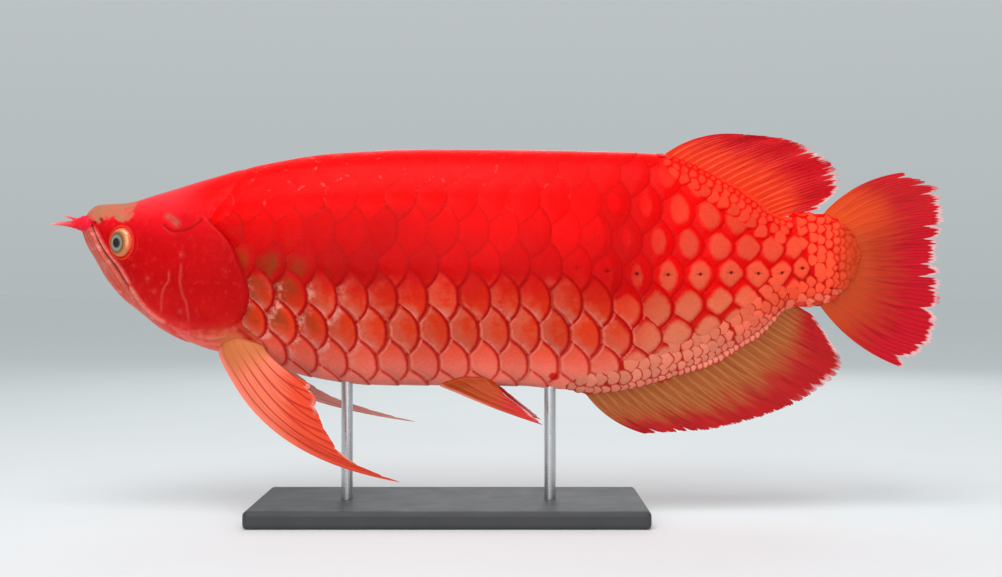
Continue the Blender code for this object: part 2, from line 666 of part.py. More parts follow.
def make_stand(parts, tools):
    """A flat base with rounded edges, and two rods that sit in it and run up into the belly."""
    bpy.ops.mesh.primitive_cube_add(size=1.0, location=(0, 0, BASE_HEIGHT / 2 * MM))
    base = bpy.context.active_object
    base.name = "stand_base"
    for old in base.users_collection:
        old.objects.unlink(base)
    parts.objects.link(base)
    for vertex in base.data.vertices:
        vertex.co = (vertex.co.x * BASE_LENGTH * MM, vertex.co.y * BASE_WIDTH * MM, vertex.co.z * BASE_HEIGHT * MM)
    rounding = base.modifiers.new("rounding", "BEVEL")
    rounding.width = BASE_ROUNDING * MM
    rounding.segments = 3
    base = applied(base)
    low = BASE_HEIGHT - ROD_SOCKET_BASE
    for word, place in ROD_PLACES.items():
        base = combine(base, peg("seat", ROD_RADIUS + GAP, low - GAP, BASE_HEIGHT + 5, place, tools), "DIFFERENCE")
        peg(f"stand_rod_{word}", ROD_RADIUS, low, belly(place) + ROD_SOCKET_BODY, place, parts)
    keep_largest(base)


def finish(parts, tools):
    """Gives each piece its material and shading, and puts the cutting shapes away."""
    red = material("red_skin", (0.62, 0.02, 0.012), 0.35)
    scales = material("red_scales", (0.70, 0.035, 0.015), 0.3)
    fins = material("fin_membrane", (0.60, 0.06, 0.02), 0.4)
    eyes = material("eye", (0.55, 0.42, 0.18), 0.15)
    metal = material("steel", (0.62, 0.62, 0.63), 0.3, 1.0)
    base = material("base_paint", (0.03, 0.03, 0.033), 0.5)
    finishes = {"trunk": scales, "tail_stalk": scales, "stand_base": base}
    for piece in parts.objects:
        kinds = (("_fin", fins), ("eye_", eyes), ("stand_rod", metal))
        finish_of = finishes.get(piece.name) or next((m for word, m in kinds if word in piece.name), red)
        piece.data.materials.clear()
        piece.data.materials.append(finish_of)
        piece.data.shade_smooth()
        piece.data.set_sharp_from_angle(angle=math.radians(32))
    for tool in tools.objects:
        tool.hide_render = True
        tool.display_type = "WIRE"
    tools.hide_render = True


def main():
    for old in list(bpy.data.objects):
        bpy.data.objects.remove(old)
    parts = bpy.data.collections.new("arowana")
    tools = bpy.data.collections.new("cutting_shapes")
    for collection in (parts, tools):
        bpy.context.scene.collection.children.link(collection)
    make_head(parts, tools)
    make_barbels(parts, tools)
    make_trunk(parts, tools)
    make_fins(parts, tools)
    make_stand(parts, tools)
    finish(parts, tools)


main()
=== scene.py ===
"""Looks of the red Asian arowana display model: skin, scales, fins, eyes, feelers, stand and light.

Sizes are in millimetres until a mesh is made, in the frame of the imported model: the head points to -X, the
left flank faces -Y, +Z is up and the stand's underside is at zero.
"""

import logging
import math
from collections.abc import Callable
from dataclasses import dataclass, field
from enum import Enum

import bpy
import numpy as np
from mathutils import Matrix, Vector


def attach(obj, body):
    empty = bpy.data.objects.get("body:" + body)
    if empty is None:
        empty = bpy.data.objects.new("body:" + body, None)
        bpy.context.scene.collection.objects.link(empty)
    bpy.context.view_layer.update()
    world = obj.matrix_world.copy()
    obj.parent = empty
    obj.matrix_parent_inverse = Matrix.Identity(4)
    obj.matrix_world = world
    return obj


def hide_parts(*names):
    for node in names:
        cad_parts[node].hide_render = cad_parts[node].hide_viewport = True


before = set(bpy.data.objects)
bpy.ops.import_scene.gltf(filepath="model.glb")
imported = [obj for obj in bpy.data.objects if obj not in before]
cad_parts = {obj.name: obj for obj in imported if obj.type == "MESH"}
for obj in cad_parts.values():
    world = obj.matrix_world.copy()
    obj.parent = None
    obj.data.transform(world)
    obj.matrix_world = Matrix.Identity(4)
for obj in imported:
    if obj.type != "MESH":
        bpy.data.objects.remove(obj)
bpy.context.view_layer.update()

MM = 0.001
BAKE_MAP = "OFBake"
MAP_MARGIN, MAP_SHARE = 0.02, 0.95  # the bake map's empty edge, and the share of it that is used
PATCH = 0.003  # how wide a scale's patch is on the bake map
COLOUR_MIX_INPUTS, COLOUR_MIX_OUTPUT = (0, 6, 7), 2  # a mix node's sockets for share, colours and result
REPORT = logging.getLogger("arowana")

Rows = tuple[tuple[float, ...], ...]
Span = tuple[float, float]
Ring = tuple[float, float, float]
Line = Callable[[np.ndarray], np.ndarray]
Values = dict[str, np.ndarray]
Colour = tuple[float, float, float]
Stops = tuple[tuple[float, Colour], ...]


class Side(Enum):
    """One side of the fish, by the sign of its y."""

    LEFT = -1
    RIGHT = 1

    @property
    def word(self) -> str:
        """The side's name in a piece's name."""
        return self.name.lower()


# Curves and meshes


def smooth_line(points: Rows) -> Line:
    """A curve through (place, value) points that never overshoots between them.

    Args:
        points: the places in rising order, each with its value.

    Returns:
        A function from an array of places to their values.
    """
    places, values = (np.array(column, float) for column in zip(*points))
    steps = np.diff(places)
    slopes = np.diff(values) / steps
    product = slopes[:-1] * slopes[1:]
    total = np.where(product > 0, slopes[:-1] + slopes[1:], 1.0)
    inner = np.where(product > 0, 2 * product / total, 0.0)
    tangents = np.concatenate([slopes[:1], inner, slopes[-1:]])

    def value(place: np.ndarray) -> np.ndarray:
        """The curve's value at each place.

        Args:
            place: where it is read, held to the two ends.

        Returns:
            The values there.
        """
        place = np.clip(np.asarray(place, float), places[0], places[-1])
        i = np.clip(np.searchsorted(places, place, side="right") - 1, 0, len(steps) - 1)
        t = (place - places[i]) / steps[i]
        leaving, arriving = tangents[i] - slopes[i], tangents[i + 1] - slopes[i]
        straight = values[i] + t * (values[i + 1] - values[i])
        return straight + steps[i] * t * (1 - t) * ((1 - t) * leaving - t * arriving)

    return value


def smooth_path(rows: Rows) -> Line:
    """A path through rows of (share, x, y, z).

    Args:
        rows: points of the path, each with its share of the way from 0 to 1.

    Returns:
        A function from an array of shares to an array of points.
    """
    lines = [smooth_line([(row[0], row[i]) for row in rows]) for i in (1, 2, 3)]
    return lambda share: np.stack([line(share) for line in lines], axis=-1)


def curve_through(points: Rows, per_span: int = 6) -> np.ndarray:
    """Points along a smooth plane curve.

    Args:
        points: the (x, z) points that the curve passes.
        per_span: how many steps lie between two of them.

    Returns:
        An array of (x, z) rows.
    """
    marks = [(float(i), *point) for i, point in enumerate(points)]
    places = np.linspace(0, len(points) - 1, per_span * (len(points) - 1) + 1)
    lines = [smooth_line([(mark[0], mark[i]) for mark in marks]) for i in (1, 2)]
    return np.stack([line(places) for line in lines], axis=-1)


def ease(low: float, high: float, value: np.ndarray) -> np.ndarray:
    """A soft step from 0 at low to 1 at high."""
    t = np.clip((value - low) / (high - low), 0, 1)
    return t * t * (3 - 2 * t)


def hill(distance: np.ndarray, width: float | np.ndarray) -> np.ndarray:
    """A soft ridge of height 1, about twice the width across."""
    return np.exp(-((distance / width) ** 2))


def unit(arrows: np.ndarray) -> np.ndarray:
    """The same directions with a length of 1."""
    return arrows / np.maximum(np.linalg.norm(arrows, axis=-1, keepdims=True), 1e-9)


def circle(count: int) -> np.ndarray:
    """Even angles once round."""
    return np.linspace(0, 2 * math.pi, count, endpoint=False)


def to_left(girth: np.ndarray) -> np.ndarray:
    """Places round the body, from 0 to 2, as the same places on the left side, from 0 to 1."""
    return np.where(girth > 1, 2 - girth, girth)


@dataclass(frozen=True)
class Nearness:
    """How points lie to a plane line: their distance, signed to its left, and how far along it they are."""

    distance: np.ndarray
    left: np.ndarray
    share: np.ndarray

    def within(self, start: float, end: float) -> np.ndarray:
        """1 beside the line, fading out over its first and last shares."""
        return ease(0, start, self.share) * (1 - ease(1 - end, 1, self.share))


def near_line(x: np.ndarray, z: np.ndarray, line: np.ndarray) -> Nearness:
    """Measures points against a plane line.

    Args:
        x: the points' first coordinates.
        z: the points' second coordinates.
        line: rows of (x, z).

    Returns:
        The points' nearness to the line.
    """
    best = np.full(np.shape(x), np.inf)
    left, share = np.zeros_like(best), np.zeros_like(best)
    runs = np.diff(line, axis=0)
    lengths = np.hypot(*runs.T)
    before = np.concatenate([[0], np.cumsum(lengths)])
    for start, run, length, passed in zip(line, runs, lengths, before):
        dx, dz = x - start[0], z - start[1]
        t = np.clip((dx * run[0] + dz * run[1]) / length**2, 0, 1)
        away = np.hypot(dx - t * run[0], dz - t * run[1])
        closer = away < best
        best = np.where(closer, away, best)
        turned = (run[0] * dz - run[1] * dx) / length
        left = np.where(closer, np.copysign(away, turned), left)
        share = np.where(closer, (passed + t * length) / before[-1], share)
    return Nearness(best, left, share)


def sheet_faces(rows: int, columns: int, closed: bool = False, first: int = 0) -> np.ndarray:
    """The four-sided faces of a grid of points stored row by row.

    Args:
        rows: how many rows of points there are.
        columns: how many points a row has.
        closed: whether a row's last point joins its first.
        first: the index of the grid's first point.

    Returns:
        An array with a face of four indices a row.
    """
    spans = columns if closed else columns - 1
    row, column = np.meshgrid(np.arange(rows - 1), np.arange(spans), indexing="ij")
    a = row * columns + column
    b = row * columns + (column + 1) % columns
    return first + np.stack([a, b, b + columns, a + columns], axis=-1).reshape(-1, 4)


def closed_sheet(rows: int, columns: int) -> np.ndarray:
    """The faces of a thin closed plate: an upper grid, the same grid under it and a band round both.

    Args:
        rows: how many rows of points each grid has.
        columns: how many points a row has.

    Returns:
        An array with a face of four indices a row.
    """
    grid = rows * columns
    top = sheet_faces(rows, columns)
    ring = np.concatenate([
        np.arange(columns), np.arange(1, rows) * columns + columns - 1,
        (rows - 1) * columns + np.arange(columns - 2, -1, -1), np.arange(rows - 2, 0, -1) * columns])
    after = np.roll(ring, -1)
    band = np.stack([after, ring, ring + grid, after + grid], axis=-1)
    return np.concatenate([top, top[:, ::-1] + grid, band])


def mesh_piece(name: str, points: np.ndarray, faces: list[np.ndarray], values: Values | None = None,
               patches: np.ndarray | None = None, sharp: float = 60.0) -> bpy.types.Object:
    """Makes a smooth-shaded object.

    Args:
        name: the piece's name.
        points: its points in millimetres.
        faces: arrays of faces, each array holding faces of one number of corners.
        values: numbers at each point that the materials read.
        patches: each point's place on the bake map.
        sharp: the angle in degrees past which an edge is shaded sharp.

    Returns:
        The object, linked to the scene.
    """
    mesh = bpy.data.meshes.new(name)
    corners = np.concatenate([group.ravel() for group in faces]).astype(np.int32)
    sizes = np.concatenate([np.full(len(group), group.shape[1]) for group in faces])
    starts = np.concatenate([[0], np.cumsum(sizes)[:-1]]).astype(np.int32)
    mesh.vertices.add(len(points))
    mesh.vertices.foreach_set("co", (points * MM).astype(np.float32).ravel())
    mesh.loops.add(len(corners))
    mesh.loops.foreach_set("vertex_index", corners)
    mesh.polygons.add(len(sizes))
    mesh.polygons.foreach_set("loop_start", starts)
    if patches is not None:
        layer = mesh.uv_layers.new(name=BAKE_MAP)
        layer.uv.foreach_set("vector", patches[corners].astype(np.float32).ravel())
    for word, value in (values or {}).items():
        attribute = mesh.attributes.new(word, "FLOAT", "POINT")
        attribute.data.foreach_set("value", value.astype(np.float32).ravel())
    mesh.update(calc_edges=True)
    mesh.validate()
    mesh.shade_smooth()
    mesh.set_sharp_from_angle(angle=math.radians(sharp))
    piece = bpy.data.objects.new(name, mesh)
    bpy.context.scene.collection.objects.link(piece)
    return piece


def settle(piece: bpy.types.Object, finish: bpy.types.Material, slot: str, *nodes: str) -> bpy.types.Object:
    """Dresses a piece, fixes it to the model and reports it.

    Args:
        piece: the finished mesh object.
        finish: its material.
        slot: the name of a material slot in the record; not used.
        nodes: the model's plain pieces that it stands for.

    Returns:
        The piece.
    """
    piece.data.materials.append(finish)
    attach(piece, "root")
    if nodes:
        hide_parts(*nodes)
    triangles = sum(len(face.vertices) - 2 for face in piece.data.polygons)
    REPORT.info("%s: %d triangles", piece.name, triangles)
    return piece


# Shader building


class Value:
    """A number or colour that a shader node gives, ready for sums and soft steps."""

    def __init__(self, sheet: "Sheet", socket: bpy.types.NodeSocket) -> None:
        """Keeps the sheet that further nodes go on."""
        self.sheet, self.socket = sheet, socket

    def __add__(self, other: object) -> "Value":
        """The sum of both."""
        return self.sheet.math("ADD", self, other)

    def __sub__(self, other: object) -> "Value":
        """This one less the other."""
        return self.sheet.math("SUBTRACT", self, other)

    def __rsub__(self, other: object) -> "Value":
        """The other less this one."""
        return self.sheet.math("SUBTRACT", other, self)

    def __mul__(self, other: object) -> "Value":
        """The product of both."""
        return self.sheet.math("MULTIPLY", self, other)

    def __truediv__(self, other: object) -> "Value":
        """This one over the other."""
        return self.sheet.math("DIVIDE", self, other)

    def step(self, low: float, high: float, to_low: float = 0.0, to_high: float = 1.0) -> "Value":
        """A soft step between two values.

        Args:
            low: where the step starts.
            high: where it ends.
            to_low: what it gives at its start.
            to_high: what it gives at its end.

        Returns:
            The stepped value.
        """
        node = self.sheet.place("ShaderNodeMapRange", interpolation_type="SMOOTHSTEP")
        for socket, source in zip(node.inputs, (self, low, high, to_low, to_high)):
            self.sheet.feed(socket, source)
        return Value(self.sheet, node.outputs[0])


class Sheet:
    """Places and joins the nodes of one shader tree."""

    def __init__(self, tree: bpy.types.NodeTree) -> None:
        """Keeps the tree that the nodes go in."""
        self.tree = tree

    def place(self, kind: str, **settings: object) -> bpy.types.Node:
        """Adds a node and sets its properties.

        Args:
            kind: the node's type name.
            settings: its properties.

        Returns:
            The node.
        """
        node = self.tree.nodes.new(kind)
        for word, value in settings.items():
            setattr(node, word, value)
        return node

    def feed(self, socket: bpy.types.NodeSocket, source: object) -> None:
        """Links a socket to another, or sets its value.

        Args:
            socket: the one that is fed.
            source: a value of this sheet, a number or a colour.
        """
        if isinstance(source, Value):
            self.tree.links.new(source.socket, socket)
        elif socket.type == "RGBA":
            socket.default_value = (*source, 1.0)
        else:
            socket.default_value = source

    def read(self, *words: str) -> list[Value]:
        """The numbers that the mesh holds at each point under these names."""
        nodes = [self.place("ShaderNodeAttribute", attribute_name=word) for word in words]
        return [Value(self, node.outputs["Fac"]) for node in nodes]

    def math(self, operation: str, a: object, b: object = 0.0, clamp: bool = False) -> Value:
        """One operation on a value, or on two.

        Args:
            operation: its name in Blender.
            a: the first value or number.
            b: the second.
            clamp: whether the result is held to 0 to 1.

        Returns:
            The result.
        """
        node = self.place("ShaderNodeMath", operation=operation, use_clamp=clamp)
        self.feed(node.inputs[0], a)
        self.feed(node.inputs[1], b)
        return Value(self, node.outputs[0])

    def mix(self, share: object, a: object, b: object, blend: str = "MIX") -> Value:
        """Blends two colours.

        Args:
            share: how much of the second shows.
            a: the first colour.
            b: the second colour.
            blend: the kind of blend.

        Returns:
            The blended colour.
        """
        node = self.place("ShaderNodeMix", data_type="RGBA", blend_type=blend)
        for i, source in zip(COLOUR_MIX_INPUTS, (share, a, b)):
            self.feed(node.inputs[i], source)
        return Value(self, node.outputs[COLOUR_MIX_OUTPUT])

    def cover(self, colour: object, *layers: tuple[object, object]) -> Value:
        """Lays colours over a first one, in turn.

        Args:
            colour: what lies below.
            layers: each layer's share and its colour.

        Returns:
            The colour of them all.
        """
        for share, layer in layers:
            colour = self.mix(share, colour, layer)
        return colour

    def scaled(self, colour: Value, size: Value) -> Value:
        """A colour made brighter or darker.

        Args:
            colour: the colour.
            size: what each part of it is multiplied by.

        Returns:
            The new colour.
        """
        node = self.place("ShaderNodeVectorMath", operation="SCALE")
        self.feed(node.inputs[0], colour)
        self.feed(node.inputs["Scale"], size)
        return Value(self, node.outputs[0])

    def point(self, space: str = "Object") -> Value:
        """The place that is being shaded, in the object's or the world's own space."""
        return Value(self, self.place("ShaderNodeTexCoord").outputs[space])

    def joined(self, *parts: object) -> Value:
        """A place made of up to three numbers."""
        node = self.place("ShaderNodeCombineXYZ")
        for socket, source in zip(node.inputs, parts):
            self.feed(socket, source)
        return Value(self, node.outputs[0])

    def height_of(self, place: Value) -> Value:
        """The third number of a place."""
        node = self.place("ShaderNodeSeparateXYZ")
        self.feed(node.inputs[0], place)
        return Value(self, node.outputs[2])

    def noise(self, scale: object, detail: float = 3.0, roughness: float = 0.55,
              where: Value | None = None) -> Value:
        """Cloudy noise from 0 to 1.

        Args:
            scale: waves in a metre.
            detail: how many finer layers it has.
            roughness: how strong these are.
            where: the place that it is read at, the object's own one by default.

        Returns:
            The noise.
        """
        node = self.place("ShaderNodeTexNoise")
        settings = {"Vector": where or self.point(), "Scale": scale, "Detail": detail, "Roughness": roughness}
        for word, source in settings.items():
            self.feed(node.inputs[word], source)
        return Value(self, node.outputs["Fac"])

    def ramp(self, value: object, stops: Stops) -> Value:
        """Colours laid out along a value.

        Args:
            value: the socket that is read, from 0 to 1.
            stops: places and their colours.

        Returns:
            The colour at the value.
        """
        node = self.place("ShaderNodeValToRGB")
        node.color_ramp.interpolation = "LINEAR"
        elements = node.color_ramp.elements
        while len(elements) < len(stops):
            elements.new(0.5)
        for element, (place, colour) in zip(elements, stops):
            element.position = place
            element.color = (*colour, 1.0)
        self.feed(node.inputs[0], value)
        return Value(self, node.outputs[0])

    def use(self, group: bpy.types.NodeTree, **sources: object) -> dict[str, Value]:
        """Places a shared group; an underscore in an argument's name stands for a space.

        Args:
            group: the node group.
            sources: values or sockets for its inputs.

        Returns:
            What the group gives, by name.
        """
        node = self.place("ShaderNodeGroup", node_tree=group)
        for word, source in sources.items():
            self.feed(node.inputs[word.replace("_", " ")], source)
        return {word: Value(self, socket) for word, socket in node.outputs.items()}

    def bump(self, height: Value, distance: float, under: Value | None = None) -> Value:
        """A normal from a height.

        Args:
            height: the height, from 0 to 1.
            distance: metres that a height of 1 stands for.
            under: another normal, which it lies on.

        Returns:
            The normal.
        """
        node = self.place("ShaderNodeBump")
        self.feed(node.inputs["Height"], height)
        node.inputs["Distance"].default_value = distance
        node.inputs["Strength"].default_value = 1.0
        if under is not None:
            self.feed(node.inputs["Normal"], under)
        return Value(self, node.outputs["Normal"])


def new_group(name: str, takes: dict[str, str],
              gives: dict[str, str]) -> tuple[bpy.types.NodeTree, Sheet, dict[str, Value], dict]:
    """Starts a shader node group.

    Args:
        name: the group's name.
        takes: its inputs, each with Float or Color.
        gives: its outputs, each with Float or Color.

    Returns:
        The group, a sheet on it, what goes into it and its output sockets, both by name.
    """
    group = bpy.data.node_groups.new(name, "ShaderNodeTree")
    for words, way in ((takes, "INPUT"), (gives, "OUTPUT")):
        for word, kind in words.items():
            group.interface.new_socket(name=word, in_out=way, socket_type=f"NodeSocket{kind}")
    sheet = Sheet(group)
    start, end = sheet.place("NodeGroupInput"), sheet.place("NodeGroupOutput")
    ways_in = {word: Value(sheet, start.outputs[word]) for word in takes}
    return group, sheet, ways_in, {word: end.inputs[word] for word in gives}


@dataclass(frozen=True)
class BodyColours:
    """The fish's markings: the colours of a scale's middle and its rim, by how far down the flank it lies,
    and a painted shade over the front of the mid-flank.
    """

    front_middle: Stops = (
        (0.00, (0.92, 0.002, 0.003)), (0.28, (0.88, 0.001, 0.001)), (0.42, (0.66, 0.0005, 0.001)),
        (0.53, (0.52, 0.001, 0.001)), (0.62, (0.56, 0.012, 0.004)), (0.72, (0.62, 0.040, 0.010)),
        (0.82, (0.84, 0.105, 0.062)), (0.92, (0.94, 0.200, 0.140)), (1.00, (0.96, 0.270, 0.200)),
    )
    front_rim: Stops = (
        (0.00, (0.84, 0.001, 0.001)), (0.38, (0.62, 0.0005, 0.001)), (0.56, (0.42, 0.0005, 0.0005)),
        (0.74, (0.46, 0.002, 0.001)), (0.90, (0.72, 0.034, 0.022)), (1.00, (0.80, 0.100, 0.070)),
    )
    rear_middle: Stops = (
        (0.00, (0.86, 0.043, 0.015)), (0.25, (0.77, 0.048, 0.021)), (0.45, (0.72, 0.060, 0.030)),
        (0.62, (0.62, 0.086, 0.038)), (0.80, (0.72, 0.165, 0.085)), (1.00, (0.88, 0.280, 0.185)),
    )
    rear_rim: Stops = (
        (0.00, (0.88, 0.004, 0.001)), (0.45, (0.76, 0.001, 0.001)), (0.70, (0.62, 0.002, 0.001)),
        (0.88, (0.54, 0.014, 0.007)), (1.00, (0.60, 0.040, 0.022)),
    )
    stalk_middle: Colour = (0.93, 0.078, 0.032)
    # painted shade: the dark red that the front of the mid-flank is mixed towards
    deep: Colour = (0.30, 0.0003, 0.0005)
    front_rim_width: float = 2.3
    turn_from: float = 0.133
    turn_to: float = 0.192

    def group(self) -> bpy.types.NodeTree:
        """The node group that skin and scales share.

        Returns:
            A group from a place on the body to its two colours and the width of a rim.
        """
        group, sheet, takes, gives = new_group(
            "body_markings", {"Along": "Float", "Girth": "Float"},
            {"Middle": "Color", "Rim": "Color", "Rim width": "Float"})
        girth = takes["Girth"] + (sheet.noise(26.0, 2.0) - 0.5) * 0.09
        place = takes["Along"] + takes["Girth"] * 0.05
        rear = place.step(self.turn_from, self.turn_to)
        # painted shade darkening the front of the mid-flank
        shade = place.step(0.026, -0.024) * girth.step(0.22, 0.36) * girth.step(0.64, 0.52, 0.0, 0.34)
        paler = place.step(0.215, 0.280) * girth.step(1.06, 0.82)
        rear_middle = sheet.mix(paler, sheet.ramp(girth, self.rear_middle), self.stalk_middle)
        for word, front, back in (("Middle", self.front_middle, rear_middle),
                                  ("Rim", self.front_rim, sheet.ramp(girth, self.rear_rim))):
            whole = sheet.mix(rear, sheet.ramp(girth, front), back)
            sheet.feed(gives[word], sheet.mix(shade, whole, self.deep))
        rear_width = place.step(0.170, 0.265, 1.9, 1.3) * takes["Girth"].step(0.55, 0.80, 1.0, 0.55)
        sheet.feed(gives["Rim width"], rear_width * rear + (1.0 - rear) * self.front_rim_width)
        return group


def fine_skin_group() -> bpy.types.NodeTree:
    """The fine, wet grain that every part of the fish has.

    Returns:
        A group from the grain's size and depth to a height and a change of roughness.
    """
    group, sheet, takes, gives = new_group(
        "wet_grain", {"Size": "Float", "Depth": "Float"}, {"Height": "Float", "Gloss change": "Float"})
    fine, broad = sheet.noise(takes["Size"], 4.0, 0.5), sheet.noise(55.0)
    sheet.feed(gives["Height"], fine * takes["Depth"])
    sheet.feed(gives["Gloss change"], (broad - 0.5) * 0.22)
    return group


def fin_paint_group() -> bpy.types.NodeTree:
    """How colour runs along a fin's rays and out to its pale, worn edge.

    Returns:
        A group from a place on the fin and its colours to one colour.
    """
    numbers = dict.fromkeys(("Along", "Across", "Ray", "Margin", "Turn", "Worn"), "Float")
    colours = dict.fromkeys(("Root", "Root ray", "Outer", "Outer ray", "Edge"), "Color")
    group, sheet, takes, gives = new_group("fin_paint", numbers | colours,
                                           {"Colour": "Color", "Streak": "Float"})
    streak = sheet.noise(1.0, 2.0, 0.5, sheet.joined(takes["Across"] * 52.0, takes["Along"] * 2.2))
    cloud = sheet.noise(34.0, 2.0)
    wander = (streak - 0.5) * 0.5 + (cloud - 0.5) * 0.35
    out = (takes["Along"] - takes["Turn"] + wander).step(-0.24, 0.24)
    film = sheet.mix(out, takes["Root"], takes["Outer"])
    ray = sheet.mix(out, takes["Root ray"], takes["Outer ray"])
    painted = sheet.mix(takes["Ray"] * 0.85, film, ray)
    dark = streak.step(0.52, 0.7) * 0.35
    painted = sheet.mix(dark, painted, sheet.mix(1.0, painted, (0.5, 0.35, 0.4), "MULTIPLY"))
    worn = takes["Margin"] - (streak - 0.38) * 14.0
    edge = worn.step(0.0, 2.6, 1.0, 0.0) * cloud.step(0.34, 0.50) * takes["Worn"]
    sheet.feed(gives["Colour"], sheet.mix(edge, painted, takes["Edge"]))
    sheet.feed(gives["Streak"], streak)
    return group


@dataclass
class Paints:
    """The shared node groups and the base shader settings."""

    markings: bpy.types.NodeTree = field(default_factory=lambda: BodyColours().group())
    grain: bpy.types.NodeTree = field(default_factory=fine_skin_group)
    fin_paint: bpy.types.NodeTree = field(default_factory=fin_paint_group)

    @staticmethod
    def blank(name: str, roughness: float, specular: float, metallic: float = 0.0,
              coat: float = 0.0) -> tuple[bpy.types.Material, Sheet, bpy.types.Node]:
        """Starts a material with its plain settings on the shader's own sockets.

        Args:
            name: the material's name.
            roughness: how matt it is.
            specular: how strongly it reflects.
            metallic: how metallic it is.
            coat: the weight of a clear gloss over it.

        Returns:
            The material, a sheet on its nodes and its shader.
        """
        material = bpy.data.materials.new(name)
        material.use_nodes = True
        shader = material.node_tree.nodes["Principled BSDF"]
        settings = {"Roughness": roughness, "Specular IOR Level": specular, "Metallic": metallic,
                    "Coat Weight": coat, "Coat Roughness": 0.04}
        for word, value in settings.items():
            shader.inputs[word].default_value = value
        return material, Sheet(material.node_tree), shader

    def wet(self, sheet: Sheet, shader: bpy.types.Node, colour: Value, roughness: float, size: float,
            depth: float, height: Value | None = None, height_depth: float = 0.0) -> None:
        """Gives a shader its colour, grain and uneven gloss.

        Args:
            sheet: the material's nodes.
            shader: its shader.
            colour: its colour.
            roughness: the mean roughness.
            size: how fine the grain is, in waves a metre.
            depth: the grain's share of a tenth of a millimetre.
            height: a coarser relief under the grain.
            height_depth: how deep that relief is, in metres.
        """
        sheet.feed(shader.inputs["Base Color"], colour)
        grain = sheet.use(self.grain, Size=size, Depth=depth)
        under = None if height is None else sheet.bump(height, height_depth)
        sheet.feed(shader.inputs["Normal"], sheet.bump(grain["Height"], 0.0001, under))
        sheet.feed(shader.inputs["Roughness"], sheet.math("ADD", grain["Gloss change"], roughness, True))


# The body's own form


